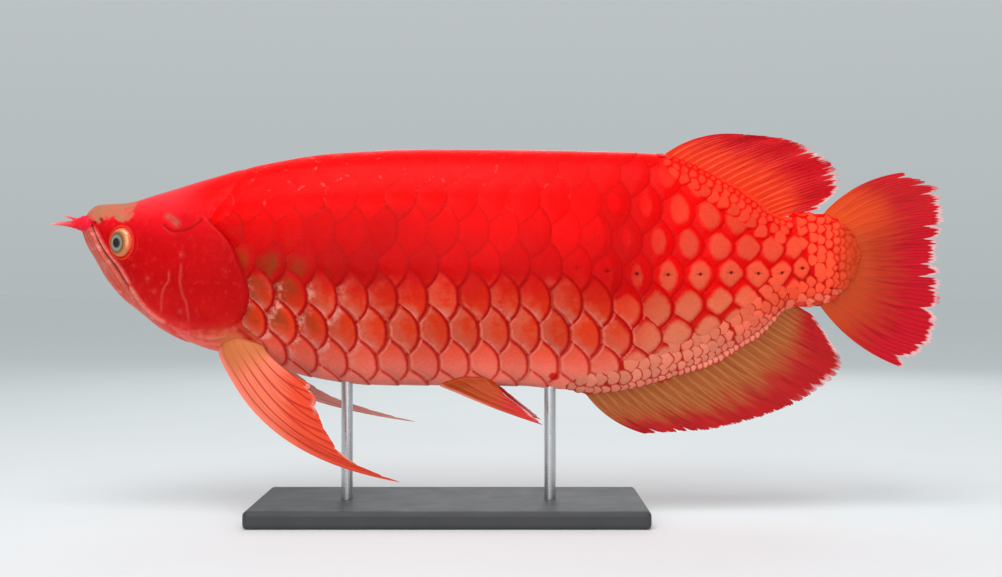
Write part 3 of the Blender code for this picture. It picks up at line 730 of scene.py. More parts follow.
@dataclass
class Body:
    """The fish's smooth surface without its fins, from the same outlines as the solids."""

    back: Rows = (
        (-257.6, 203.7), (-252.0, 212.8), (-245.7, 217.2), (-225.4, 218.6), (-201.6, 225.1), (-170.8, 234.5),
        (-131.6, 245.0), (-80.5, 253.1), (-14.0, 256.2), (77.0, 255.2), (143.5, 253.0), (184.1, 240.1),
        (214.9, 223.3), (231.0, 210.5), (256.0, 210.2), (268.0, 207.5), (277.0, 201.5), (283.0, 193.5),
        (285.5, 186.0),
    )
    belly: Rows = (
        (-257.6, 200.2), (-254.1, 190.0), (-248.5, 180.6), (-238.7, 164.2), (-227.5, 151.2), (-217.0, 142.8),
        (-200.2, 129.5), (-184.1, 121.5), (-143.5, 109.6), (-84.0, 94.9), (-53.2, 91.7), (49.0, 91.0),
        (98.0, 87.2), (127.4, 90.8), (177.8, 108.3), (214.9, 128.6), (240.0, 147.5), (255.0, 148.5),
        (266.0, 151.5), (275.5, 158.5), (282.5, 168.5), (285.5, 178.0),
    )
    half_width: Rows = (
        (-257.6, 2.5), (-253.4, 6.5), (-248.5, 10.5), (-239.4, 16.0), (-227.5, 21.0), (-210.0, 26.0),
        (-185.5, 29.5), (-154.0, 32.0), (-105.0, 34.0), (35.0, 34.0), (91.0, 31.5), (140.0, 27.0),
        (182.0, 21.5), (214.9, 16.0), (245.0, 11.0), (268.0, 6.8), (279.0, 4.4), (285.5, 2.4),
    )
    box_over: Rows = ((-257.6, 2.3), (-225.0, 2.7), (-180.0, 2.5), (-100.0, 2.35), (200.0, 2.1), (285.5, 2.0))
    box_under: Rows = ((-257.6, 2.2), (-200.0, 2.0), (-140.0, 1.8), (100.0, 1.7), (220.0, 1.9), (285.5, 2.0))
    widest_share: float = 0.52
    step: float = 0.5
    girth_steps: int = 240
    start: float = field(init=False)
    end: float = field(init=False)
    places: np.ndarray = field(init=False)
    normals: np.ndarray = field(init=False)

    def __post_init__(self) -> None:
        """Works out the surface and its normals on an even grid of length and girth."""
        self.start, self.end = self.back[0][0], self.back[-1][0]
        x = np.linspace(self.start, self.end, round((self.end - self.start) / self.step) + 1)
        self.step = x[1] - x[0]
        top, bottom, half, over_power, under_power = (
            smooth_line(rows)(x)[:, None]
            for rows in (self.back, self.belly, self.half_width, self.box_over, self.box_under))
        middle = bottom + self.widest_share * (top - bottom)
        turn = np.linspace(0, math.pi, 401)
        over = turn <= math.pi / 2
        power = np.where(over, 2 / over_power, 2 / under_power)
        reach = np.where(over, top - middle, middle - bottom)
        y = half * np.abs(np.sin(turn)) ** power
        z = middle + np.sign(np.cos(turn)) * reach * np.abs(np.cos(turn)) ** power
        run = np.cumsum(np.hypot(np.diff(y, prepend=y[:, :1]), np.diff(z, prepend=z[:, :1])), axis=1)
        even = np.linspace(0, 1, self.girth_steps + 1)
        self.places = np.empty((len(x), len(even), 3))
        self.places[:, :, 0] = x[:, None]
        for i in range(len(x)):
            share = run[i] / run[i, -1]
            self.places[i, :, 1] = -np.interp(even, share, y[i])
            self.places[i, :, 2] = np.interp(even, share, z[i])
        whole = np.concatenate([self._mirrored(self.places[:, 2:0:-1]), self.places,
                                self._mirrored(self.places[:, -2:-4:-1])], axis=1)
        along, around = np.gradient(whole, axis=0), np.gradient(whole, axis=1)
        out = np.cross(around, along)[:, 2:-2]
        self.normals = unit(out)

    @staticmethod
    def _mirrored(points: np.ndarray) -> np.ndarray:
        """The same points on the other side of the fish."""
        return points * np.array([1.0, -1.0, 1.0])

    def _read(self, table: np.ndarray, x: np.ndarray, girth: np.ndarray) -> np.ndarray:
        """Reads a table between its points.

        Args:
            table: positions or normals by length and girth.
            x: places along the body.
            girth: 0 on the back, 1 on the belly, and from 1 to 2 back up the right side.

        Returns:
            The table's values there.
        """
        x, girth = np.broadcast_arrays(x, np.mod(girth, 2))
        row = np.clip((x - self.start) / self.step, 0, len(table) - 1.001)
        column = np.clip(to_left(girth) * self.girth_steps, 0, self.girth_steps - 1e-6)
        i, j = row.astype(int), column.astype(int)
        a, b = (row - i)[..., None], (column - j)[..., None]
        near = table[i, j] * (1 - b) + table[i, j + 1] * b
        far = table[i + 1, j] * (1 - b) + table[i + 1, j + 1] * b
        value = near * (1 - a) + far * a
        value[..., 1] *= np.where(girth > 1, -1, 1)
        return value

    def at(self, x: np.ndarray, girth: np.ndarray, rise: np.ndarray | float = 0.0) -> np.ndarray:
        """Points of the surface, raised along its normal.

        Args:
            x: places along the body.
            girth: places round it.
            rise: how far the points stand off the surface.

        Returns:
            An array of points.
        """
        normal = self.normal(x, girth)
        return self._read(self.places, x, girth) + np.asarray(rise)[..., None] * normal

    def on_map(self, x: np.ndarray, girth: np.ndarray) -> np.ndarray:
        """Where places on the surface lie on the bake map."""
        shares = np.stack(np.broadcast_arrays((x - self.start) / (self.end - self.start), girth / 2), axis=-1)
        return MAP_MARGIN + MAP_SHARE * shares

    def normal(self, x: np.ndarray, girth: np.ndarray) -> np.ndarray:
        """The outward direction at places on the surface."""
        return unit(self._read(self.normals, x, girth))

    def girth_at(self, x: float, z: float) -> float:
        """How far round the left flank a height lies."""
        row = self.places[int(np.clip(round((x - self.start) / self.step), 0, len(self.places) - 1))]
        return float(np.interp(-z, -row[:, 2], np.linspace(0, 1, self.girth_steps + 1)))

    def girths_at(self, x: np.ndarray, z: np.ndarray) -> np.ndarray:
        """How far round the left flank many heights lie."""
        return np.array([self.girth_at(*place) for place in zip(x.ravel(), z.ravel())]).reshape(x.shape)


# The head


def ringed(away: np.ndarray, rim: Ring, groove: Ring) -> np.ndarray:
    """A raised rim and the groove beside it.

    Args:
        away: how far points are from the middle.
        rim: the rim's height, how far out it stands and its width.
        groove: the same for the groove, as a depth.

    Returns:
        The rise of each point.
    """
    (height, rim_out, rim_width), (depth, groove_out, groove_width) = rim, groove
    return height * hill(away - rim_out, rim_width) - depth * hill(away - groove_out, groove_width)


@dataclass(frozen=True)
class Ridge:
    """A line of relief or paint along one of the head's curves.

    Its height is in millimetres, or a share of paint, and below zero for a groove. The fades are the shares
    of the curve over which it comes and goes, and beside is how far to the curve's left it lies.
    """

    curve: str
    height: float
    width: float
    fades: tuple[float, float]
    beside: float | None = None

    def over(self, near: Nearness) -> np.ndarray:
        """Its height at places near its curve."""
        away = near.distance if self.beside is None else near.left - self.beside
        return self.height * hill(away, self.width) * near.within(*self.fades)


@dataclass
class HeadForm:
    """The relief of the head in the side view: mouth, jaws, nostrils, orbits, gill covers and folds."""

    mouth: Rows = (
        (-259.0, 214.0), (-254.6, 208.8), (-251.0, 206.0), (-248.0, 201.9), (-245.1, 197.6), (-241.8, 191.4),
        (-237.2, 183.8), (-231.7, 177.0), (-226.9, 170.3), (-223.6, 165.1), (-219.9, 157.5),
    )
    upper_jaw: Rows = (
        (-246.5, 203.0), (-242.2, 196.2), (-236.8, 187.4), (-231.0, 180.4), (-227.0, 175.8), (-223.6, 170.8),
        (-220.8, 166.0), (-217.2, 159.8),
    )
    lower_lip: Rows = (
        (-255.4, 203.8), (-251.4, 199.8), (-246.4, 192.2), (-240.6, 182.6), (-234.6, 173.8), (-227.6, 164.8),
        (-221.6, 156.0),
    )
    jaw_fold: Rows = (
        (-219.4, 161.8), (-217.3, 158.4), (-214.6, 153.6), (-208.8, 145.4), (-201.4, 138.8), (-193.9, 134.6),
    )
    cheek_lines: tuple[Rows, ...] = (
        ((-189.9, 172.5), (-190.0, 164.8), (-193.2, 160.0), (-195.4, 154.5), (-196.6, 145.9),
         (-198.1, 141.4)),
        ((-181.5, 178.0), (-181.5, 172.1), (-182.3, 163.7), (-180.9, 154.5), (-178.8, 149.0), (-178.1, 141.7),
         (-178.2, 134.6)),
    )
    cover_edge: Rows = (
        (-168.5, 210.5), (-165.9, 207.1), (-155.9, 198.2), (-147.6, 188.0), (-143.4, 177.2), (-138.8, 165.0),
        (-137.1, 154.2), (-140.2, 143.3), (-145.6, 136.4), (-156.0, 132.2), (-165.0, 131.6), (-173.5, 132.0),
        (-179.5, 134.6),
    )
    scale_front: Rows = (
        (-148.0, 272.0), (-150.0, 248.0), (-155.0, 232.0), (-161.0, 218.0), (-162.5, 205.5), (-153.0, 195.5),
        (-145.6, 185.5), (-141.4, 176.0), (-136.9, 165.0), (-135.4, 154.2), (-138.0, 143.0), (-142.0, 136.0),
        (-141.0, 130.0), (-131.0, 124.0), (-126.0, 116.0), (-131.0, 107.0), (-144.0, 100.0), (-160.0, 92.0),
    )
    throat_folds: tuple[Rows, ...] = (
        ((-193.9, 134.8), (-186.0, 129.8), (-176.0, 126.4), (-163.0, 124.6), (-150.0, 127.6)),
        ((-190.0, 129.2), (-180.0, 124.2), (-168.0, 120.8), (-154.0, 120.2)),
        ((-184.0, 124.6), (-173.0, 119.4), (-160.0, 116.0), (-148.0, 114.6)),
    )
    ear_mark: Rows = ((-194.8, 209.4), (-189.7, 207.2), (-185.2, 203.8), (-181.6, 199.6))
    ear_crease: Rows = (
        (-195.6, 203.6), (-191.3, 199.7), (-187.1, 197.6), (-181.5, 197.9), (-175.3, 199.6), (-165.9, 207.1),
    )
    brow: Rows = ((-237.6, 197.6), (-236.9, 200.2), (-234.4, 203.6), (-230.9, 205.4), (-226.0, 206.2))
    snout_edge: Rows = (
        (-256.0, 204.0), (-248.1, 204.8), (-242.2, 202.6), (-237.6, 205.0), (-231.6, 206.4), (-225.0, 203.4),
        (-219.5, 204.1), (-214.9, 209.6), (-213.6, 216.7), (-213.0, 226.0),
    )
    nostrils: Rows = ((-240.3, 206.4), (-244.9, 204.4))
    nostril_radii: tuple[float, float] = (1.15, 0.8)
    pores: Rows = ((-181.2, 182.0), (-183.6, 143.2), (-205.0, 166.0), (-201.0, 157.0))
    eye: tuple[float, float] = (-223.9, 190.2)
    eye_half: tuple[float, float] = (7.6, 9.9)
    axil: Rows = ((-145.5, 131.5), (-140.5, 128.0), (-134.5, 121.6))
    fin_root: tuple[float, float, float, float] = (-148.0, 123.6, 17.0, 6.5)
    scale_depth: float = 1.3
    socket_depth: float = 4.6
    gape_width: float = 0.78
    gape_depth: float = 2.1
    pore_rim: Ring = (0.3, 1.5, 0.6)
    pore_pit: Ring = (0.35, 0.0, 0.8)
    pore_pale: float = 0.22
    nostril_rim: Ring = (0.4, 1.7, 0.5)
    nostril_depth: float = 2.2
    lid: Ring = (0.75, 1.13, 0.085)
    lid_groove: Ring = (0.25, 1.32, 0.08)
    lid_fold: Ring = (0.75, 1.46, 0.085)
    lid_fold_groove: Ring = (0.35, 1.68, 0.1)
    fold_turn: float = 0.9
    cover_reach: float = 13.0
    cover_lift: float = 0.45
    nape_share: float = 0.6
    root_lift: float = 0.8
    ridges: tuple[Ridge, ...] = (
        Ridge("upper_jaw", 0.95, 1.25, (0.12, 0.1)), Ridge("upper_jaw", -0.55, 1.0, (0.12, 0.1), 2.6),
        Ridge("lower_lip", 0.7, 1.6, (0.1, 0.15)),
        Ridge("jaw_fold", 0.9, 1.2, (0.1, 0.12)), Ridge("jaw_fold", -0.7, 1.1, (0.1, 0.12), 2.3),
        Ridge("cheek_lines", 0.24, 0.9, (0.12, 0.12)), Ridge("cheek_lines", -0.20, 1.1, (0.12, 0.12), 2.0),
        Ridge("throat_folds", 0.5, 1.1, (0.15, 0.2)), Ridge("throat_folds", -0.5, 0.9, (0.15, 0.2), -2.2),
        Ridge("ear_crease", -0.75, 1.0, (0.1, 0.1)), Ridge("ear_mark", -0.25, 1.7, (0.3, 0.3)),
        Ridge("brow", 0.7, 1.1, (0.2, 0.2)), Ridge("brow", -0.5, 0.9, (0.2, 0.2), 2.2),
        Ridge("cover_edge", -0.6, 1.1, (0.1, 0.5), 1.3), Ridge("axil", -0.9, 2.2, (0.2, 0.25)),
    )
    # painted highlights along the ridges of the jaws, jaw fold, cheeks and throat
    pale_lines: tuple[Ridge, ...] = (
        Ridge("upper_jaw", 1.0, 1.0, (0.12, 0.1)), Ridge("jaw_fold", 1.0, 1.3, (0.1, 0.1)),
        Ridge("cheek_lines", 0.24, 0.7, (0.12, 0.12)), Ridge("throat_folds", 0.45, 1.2, (0.15, 0.2)),
    )

    def __post_init__(self) -> None:
        """Draws every line as a smooth curve once."""
        groups = {"cheek_lines": self.cheek_lines, "throat_folds": self.throat_folds}
        singles = ("mouth", "upper_jaw", "lower_lip", "jaw_fold", "cover_edge", "scale_front", "ear_mark",
                   "ear_crease", "brow", "snout_edge", "axil")
        groups |= {word: (getattr(self, word),) for word in singles}
        self.curves = {word: [curve_through(rows) for rows in group] for word, group in groups.items()}

    def behind(self, x: np.ndarray, z: np.ndarray) -> np.ndarray:
        """How far places lie behind the front edge of the scales, below zero on the smooth head.

        Args:
            x: places along the fish.
            z: their heights.

        Returns:
            Signed distances.
        """
        return near_line(x, z, self.curves["scale_front"][0]).left

    def round_eye(self, x: np.ndarray, z: np.ndarray) -> tuple[np.ndarray, np.ndarray]:
        """Places against the eye: how many eye radii out they lie, and in which direction.

        Args:
            x: places along the fish.
            z: their heights.

        Returns:
            The radii, and the angles from the tail's direction up.
        """
        across, up = (x - self.eye[0]) / self.eye_half[0], (z - self.eye[1]) / self.eye_half[1]
        return np.hypot(across, up), np.arctan2(up, across)

    def measure(self, x: np.ndarray, z: np.ndarray) -> Values:
        """The head's relief and paint at places in the side view.

        Args:
            x: places along the fish.
            z: their heights.

        Returns:
            The rise of the skin, and a value from 0 to 1 for each painted feature.
        """
        near = {word: [near_line(x, z, curve) for curve in group] for word, group in self.curves.items()}
        mouth, fold, mark, crease, cover, axil, snout_line, front = (near[word][0] for word in (
            "mouth", "jaw_fold", "ear_mark", "ear_crease", "cover_edge", "axil", "snout_edge", "scale_front"))
        rise = sum(ridge.over(line) for ridge in self.ridges for line in near[ridge.curve])
        pale = np.max([line.over(found) for line in self.pale_lines for found in near[line.curve]], axis=0)
        gape = hill(mouth.distance, self.gape_width) * (1 - ease(0.93, 1.0, mouth.share))
        rise -= self.gape_depth * gape
        for place_x, place_z in self.pores:
            away = np.hypot(x - place_x, z - place_z)
            rise += ringed(away, self.pore_rim, self.pore_pit)
            pale = np.maximum(pale, self.pore_pale * hill(away, 1.4))
        pits = np.zeros_like(x)
        for (place_x, place_z), radius in zip(self.nostrils, self.nostril_radii):
            away = np.hypot(x - place_x, z - place_z) / radius
            pits = np.maximum(pits, hill(away, 0.95))
            rise += ringed(away, self.nostril_rim, (self.nostril_depth * radius, 0.0, 0.9))

        out, turn = self.round_eye(x, z)
        low_rear = (0.5 + 0.5 * np.cos(turn + self.fold_turn)) ** 3
        rise += ringed(out, self.lid, self.lid_groove)
        rise += low_rear * ringed(out, self.lid_fold, self.lid_fold_groove)
        rise -= self.socket_depth * (1 - ease(0.9, 1.05, out))

        plate = ease(0.7, -0.7, cover.left) * np.exp(-np.abs(cover.left) / self.cover_reach)
        rise += self.cover_lift * plate * ease(0, 0.05, cover.share) * (1 - ease(0.85, 1.0, cover.share))
        behind, nape = front.left, ease(205, 222, z)
        rise -= self.nape_share * self.scale_depth * ease(2.0, 16.0, behind) * nape
        rise -= self.scale_depth * ease(-0.5, 1.5, behind) * (1 - nape)
        root_x, root_z, root_long, root_high = self.fin_root
        root = hill(np.hypot((x - root_x) / root_long, (z - root_z) / root_high), 1.0)
        rise += self.root_lift * root

        web = ease(-0.6, 3.0, cover.left) * (1 - ease(1.0, 3.5, behind))
        web = web * ease(138, 126, z) * ease(-200, -184, x)
        below_jaw = np.where(x < -219.0, -mouth.left, -fold.left)
        # painted shadow just behind the gill cover's rear edge
        slot_behind = hill(cover.left - 1.3, 1.1) * cover.within(0.1, 0.5)
        return {
            "rise": rise,
            # painted shade in the mouth's groove
            "gape": gape,
            # painted highlights along the ridges, and pale rings round the pores
            "pale": np.clip(pale, 0, 1),
            "snout": ease(-2.5, 4.5, snout_line.left) * ease(-192, -228, x),
            "nape": ease(-30, -2, behind) * nape,
            "seams": (hill(mouth.left + 3.4, 0.5) + 0.8 * hill(mouth.left + 6.2, 0.5))
            * mouth.within(0.15, 0.1),
            # painted shade in the nostrils
            "pits": pits,
            "jaw": ease(-0.4, 0.8, below_jaw) * ease(-184, -214, x),
            "web": np.clip(web, 0, 1),
            "ear": hill(mark.distance, 2.0) * mark.within(0.3, 0.3),
            # painted shade in the ear crease and behind the gill cover's edge
            "crease": np.clip(hill(crease.distance, 0.9) * crease.within(0.1, 0.1) + 0.8 * slot_behind, 0, 1),
            "orbit": hill(out - 1.12, 0.1),
            # painted shade in the grooves round the eye
            "fold": 0.5 * hill(out - 1.32, 0.07) + hill(out - 1.66, 0.08) * low_rear,
            "finroot": root,
            # painted shade in the pectoral fin's armpit
            "axil": hill(axil.distance, 2.4) * axil.within(0.2, 0.2),
        }


@dataclass(frozen=True)
class HeadFinish:
    """The head's wet red skin with all its marks, painted highlights on its ridges and chin, and painted
    shade in its grooves, pits and mouth line.
    """

    by_girth: Stops = (
        (0.0, (0.80, 0.034, 0.040)), (0.13, (0.80, 0.036, 0.046)), (0.28, (0.74, 0.004, 0.010)),
        (0.42, (0.53, 0.0005, 0.002)), (0.62, (0.46, 0.0004, 0.001)), (0.78, (0.58, 0.004, 0.003)),
        (0.9, (0.88, 0.040, 0.034)), (1.0, (0.94, 0.120, 0.100)),
    )
    olive: Stops = (
        (0.30, (0.62, 0.090, 0.060)), (0.46, (0.56, 0.150, 0.085)), (0.58, (0.42, 0.170, 0.085)),
        (0.72, (0.34, 0.180, 0.080)),
    )
    salmon: tuple[Colour, Colour] = ((0.62, 0.075, 0.050), (0.60, 0.145, 0.098))
    crimson: Colour = (0.46, 0.0003, 0.004)
    paler: Colour = (0.78, 0.045, 0.035)
    darker: Colour = (0.34, 0.0004, 0.001)
    # painted highlights on the chin
    chin_glints: Colour = (0.84, 0.350, 0.300)
    seam: Colour = (0.40, 0.020, 0.014)
    web: Colour = (0.76, 0.125, 0.100)
    fin_root: Colour = (0.50, 0.130, 0.034)
    # painted highlight: the pale colour along the head's ridges, also used for the pale rings round the pores
    worn: Colour = (0.84, 0.250, 0.210)
    ear: Colour = (0.34, 0.110, 0.085)
    # an orange ring round the orbit, then painted shade in the grooves round the eye, in the ear crease and
    # behind the gill cover, in the fin's armpit, in the mouth line and in the nostrils
    marks: tuple[tuple[str, float, Colour], ...] = (
        ("orbit", 1.0, (0.80, 0.030, 0.012)), ("fold", 0.5, (0.40, 0.001, 0.002)),
        ("crease", 0.75, (0.30, 0.001, 0.002)), ("axil", 0.85, (0.42, 0.001, 0.001)),
        ("gape", 0.9, (0.22, 0.018, 0.009)), ("pits", 1.0, (0.10, 0.018, 0.006)),
    )
    grain_depth: float = 0.00026

    def build(self, paints: Paints) -> bpy.types.Material:
        """Builds the material.

        Args:
            paints: the shared node groups.

        Returns:
            The material.
        """
        material, sheet, shader = paints.blank("head_skin", 0.32, 0.07)
        along, girth, nape, snout, jaw = sheet.read("along", "girth", "nape", "snout", "jaw")
        seams, web, fin_root, pale, ear = sheet.read("seams", "web", "finroot", "pale", "ear")
        marks = sheet.read(*(word for word, _, _ in self.marks))
        zones = sheet.use(paints.markings, Along=along, Girth=girth)
        cloud, speck, fine = sheet.noise(38.0), sheet.noise(420.0, 2.0), sheet.noise(230.0, 4.0, 0.65)
        on_head = along.step(-0.165, -0.135, 1.0, 0.0) * (1.0 - nape)
        patchy = snout + (cloud - 0.5) + (fine - 0.5) * 1.8
        patchy = patchy.step(0.28, 0.92) * snout.step(0.04, 0.6) * speck.step(0.2, 0.5, 0.7, 0.95)
        # painted highlights: pale glints along the chin's lower edge
        glint = sheet.noise(190.0).step(0.55, 0.74) * girth.step(1.0, 0.94, 0.15, 0.65)
        colour = sheet.cover(
            sheet.mix(girth.step(0.3, 0.5), zones["Middle"], zones["Rim"]),
            (on_head, sheet.ramp(girth, self.by_girth)),
            (cloud.step(0.42, 0.68) * 0.5 * girth.step(0.15, 0.4, 0.25, 1.0), self.crimson),
            (fine.step(0.52, 0.72) * girth.step(0.3, 0.6, 0.18, 0.22), self.paler),
            (fine.step(0.46, 0.28) * girth.step(0.3, 0.5, 0.08, 0.35), self.darker),
            (patchy, sheet.ramp(sheet.noise(150.0), self.olive)),
            (jaw * speck.step(0.25, 0.6, 0.55, 0.95), sheet.mix(cloud.step(0.35, 0.65), *self.salmon)),
            (jaw * glint, self.chin_glints),
            (seams * 0.6, self.seam),
            (web * fine.step(0.38, 0.62, 0.10, 0.75), self.web),
            (fin_root * 0.85, self.fin_root),
            # painted highlights along the ridges, and pale rings round the pores
            (pale * speck.step(0.3, 0.6, 0.55, 1.0) * 0.75, self.worn),
            (ear * speck.step(0.35, 0.55, 0.2, 0.9), self.ear),
            *((share * strength, colour) for share, (_, strength, colour) in zip(marks, self.marks)))
        paints.wet(sheet, shader, colour, 0.32, 900.0, 0.7, sheet.noise(180.0), self.grain_depth)
        return material


@dataclass
class Skin:
    """The one skin over head, trunk and tail stalk. It lies under the scales and shows on the head."""

    body: Body
    head: HeadForm
    around: int = 372
    head_end: float = -118.0
    head_step: float = 0.78
    trunk_step: float = 5.0
    flesh: tuple[str, ...] = ("head", "lower_jaw", "gill_cover_left", "gill_cover_right", "trunk",
                              "tail_stalk")

    def stations(self) -> np.ndarray:
        """Where the rings lie along the body: close at the snout's tip and over the head, wider behind it.

        Returns:
            Rising places along the fish.
        """
        tip = self.body.start + np.cumsum([0.0, 0.12, 0.18, 0.25, 0.32, 0.4, 0.48, 0.56, 0.64, 0.7])
        head = np.arange(tip[-1] + self.head_step, self.head_end, self.head_step)
        trunk = np.linspace(self.head_end + 2, self.body.end,
                            round((self.body.end - self.head_end) / self.trunk_step))
        return np.concatenate([tip, head, trunk])

    def build(self) -> bpy.types.Object:
        """Builds the skin as one closed mesh.

        Returns:
            The object, with a value at each point for every painted feature.
        """
        x = self.stations()
        girth = np.linspace(0, 2, self.around, endpoint=False)
        x_grid, girth_grid = np.meshgrid(x, girth, indexing="ij")
        flat = self.body.at(x_grid, girth_grid)
        paint = self.head.measure(flat[..., 0].ravel(), flat[..., 2].ravel())
        rise = paint.pop("rise").reshape(x_grid.shape)
        tail = ease(262, 284, x_grid)
        rise = np.where(x_grid > self.head_end, -self.head.scale_depth * (1 - 0.6 * tail), rise)
        points = self.body.at(x_grid, girth_grid, rise).reshape(-1, 3)
        ring = points[: self.around]
        centre = ring.mean(axis=0)
        caps = [centre + (ring - centre) * size - np.array([reach, 0, 0])
                for size, reach in ((0.78, 0.42), (0.5, 0.72), (0.2, 0.86))]
        points = np.concatenate([points, *caps])
        first_cap = len(x) * self.around
        order = [0, *(first_cap + i * self.around for i in range(len(caps)))]
        faces = [sheet_faces(len(x), self.around, True)[:, ::-1]]
        step = np.arange(self.around)
        after = (step + 1) % self.around
        for a, b in zip(order, order[1:]):
            faces.append(np.stack([a + step, a + after, b + after, b + step], axis=-1))
        faces.append((order[-1] + step)[None, :])
        faces.append(((len(x) - 1) * self.around + step)[None, ::-1])
        values = {word: np.concatenate([value, np.tile(value[: self.around], len(caps))])
                  for word, value in paint.items()}
        on_side = to_left(girth_grid).ravel()
        values["girth"] = np.concatenate([on_side, np.tile(on_side[: self.around], len(caps))])
        values["along"] = points[:, 0] * MM
        return mesh_piece("body_skin", points, faces, values, sharp=75.0)

    def make(self, paints: Paints) -> None:
        """Builds the skin, dresses it and puts it in place of the flesh."""
        settle(self.build(), HeadFinish().build(paints), "head_skin", *self.flesh)


# The eyes


@dataclass
class Eye:
    """One eye: a black lens in a silver iris, inside a ring of gold, on a ball that sits in its socket."""

    body: Body
    head: HeadForm
    side: Side
    rings: int = 46
    around: int = 72
    lens_off: tuple[float, float] = (-1.9, -0.1)
    widths: Rows = (
        (0.0, 0.0), (0.30, 2.6), (0.34, 2.8), (0.56, 4.2), (0.62, 4.6), (1.0, 7.7), (1.12, 8.4), (1.3, 4.0),
    )
    heights: Rows = (
        (0.0, 0.0), (0.30, 3.2), (0.34, 3.5), (0.56, 6.0), (0.62, 6.6), (1.0, 9.9), (1.12, 10.6), (1.3, 5.4),
    )
    stands: Rows = ((0.0, 3.5), (0.16, 3.35), (0.29, 3.0), (0.33, 2.7), (0.44, 2.6), (0.56, 2.7), (0.60, 2.6),
                    (0.72, 2.7), (0.86, 2.1), (1.0, 0.6), (1.12, -2.4), (1.3, -6.0))
    drift: Rows = ((0.0, 1.0), (0.6, 1.0), (1.0, 0.08), (1.3, 0.0))

    def build(self) -> bpy.types.Object:
        """Builds the eye from its middle out, ring by ring.

        Returns:
            The object, with each point's ring and direction.
        """
        x, z = self.head.eye
        girth = self.body.girth_at(x, z)
        girth = girth if self.side is Side.LEFT else 2 - girth
        place, axis = self.body.at(x, girth), self.body.normal(x, girth)
        tailwards = unit(np.array([1.0, 0.0, 0.0]) - axis * axis[0])
        upwards = np.array([0.0, 0.0, 1.0]) - axis * axis[2]
        upwards = unit(upwards - tailwards * (upwards @ tailwards))
        ring = np.linspace(0.012, 1.3, self.rings)[:, None]
        turn = circle(self.around)[None, :]
        drift = smooth_line(self.drift)(ring)
        lean = 1 / max(tailwards[0], 0.5)
        across = (smooth_line(self.widths)(ring) * np.cos(turn) + drift * self.lens_off[0]) * lean
        up = smooth_line(self.heights)(ring) * np.sin(turn) + drift * self.lens_off[1]
        out = smooth_line(self.stands)(ring) * np.ones_like(turn)
        points = (place + across[..., None] * tailwards + up[..., None] * upwards + out[..., None] * axis)
        points = points.reshape(-1, 3)
        faces = sheet_faces(self.rings, self.around, True)
        first, last = np.arange(self.around), np.arange(self.around) + (self.rings - 1) * self.around
        middle = np.array([points[first].mean(axis=0)])
        points = np.concatenate([points, middle])
        fan = np.stack([np.full(self.around, len(points) - 1), first, np.roll(first, -1)], axis=-1)
        if self.side is Side.RIGHT:
            faces, fan, last = faces[:, ::-1], fan[:, ::-1], last[::-1]
        values = {"ring": np.append((ring * np.ones_like(turn)).ravel(), 0.0),
                  "towards_top": np.append((np.sin(turn) * np.ones_like(ring)).ravel(), 0.0),
                  "towards_tail": np.append((np.cos(turn) * np.ones_like(ring)).ravel(), 0.0)}
        faces_all = [faces[:, ::-1], fan[:, ::-1], last[None, :]]
        return mesh_piece(f"eyeball_{self.side.word}", points, faces_all, values)


@dataclass(frozen=True)
class EyeFinish:
    """Clear gloss over lens, iris and gold ring, with a painted highlight on the ring's upper rear."""

    by_ring: Stops = (
        (0.0, (0.003, 0.003, 0.003)), (0.262, (0.006, 0.005, 0.004)), (0.285, (0.05, 0.045, 0.03)),
        (0.315, (0.24, 0.22, 0.17)), (0.43, (0.32, 0.29, 0.23)), (0.50, (0.20, 0.15, 0.08)),
        (0.545, (0.16, 0.060, 0.018)), (0.60, (0.40, 0.13, 0.035)), (0.74, (0.60, 0.19, 0.060)),
        (0.84, (0.66, 0.14, 0.040)), (0.90, (0.52, 0.03, 0.008)),
    )
    # painted highlight on the gold ring
    bright: Colour = (0.90, 0.34, 0.18)
    rear: Colour = (0.85, 0.10, 0.03)
    shade: Colour = (0.10, 0.06, 0.03)
    relief: float = 0.00012

    def build(self, paints: Paints) -> bpy.types.Material:
        """Builds the material.

        Args:
            paints: the shared node groups.

        Returns:
            The material.
        """
        material, sheet, shader = paints.blank("eye_gloss", 0.22, 0.25, coat=0.35)
        ring, top, tail = sheet.read("ring", "towards_top", "towards_tail")
        streaks = sheet.noise(1.0, 4.0, 0.7, sheet.joined(top * 9.0, tail * 9.0, ring))
        colour = sheet.cover(
            sheet.ramp((ring + (streaks - 0.5) * 0.05) * 0.9, self.by_ring),
            # painted highlight on the upper rear of the gold ring
            ((top + tail * 0.7).step(0.0, 1.1) * ring.step(0.68, 0.85) * 0.6, self.bright),
            (tail.step(0.75, 1.0) * ring.step(0.78, 0.95) * 0.6, self.rear),
            (streaks.step(0.45, 0.7) * ring.step(0.32, 0.4) * 0.3, self.shade))
        sheet.feed(shader.inputs["Base Color"], colour)
        sheet.feed(shader.inputs["Metallic"], ring.step(0.33, 0.4) * ring.step(0.95, 1.05, 0.35, 0.0))
        sheet.feed(shader.inputs["Normal"], sheet.bump(streaks, self.relief))
        return material


# The scales


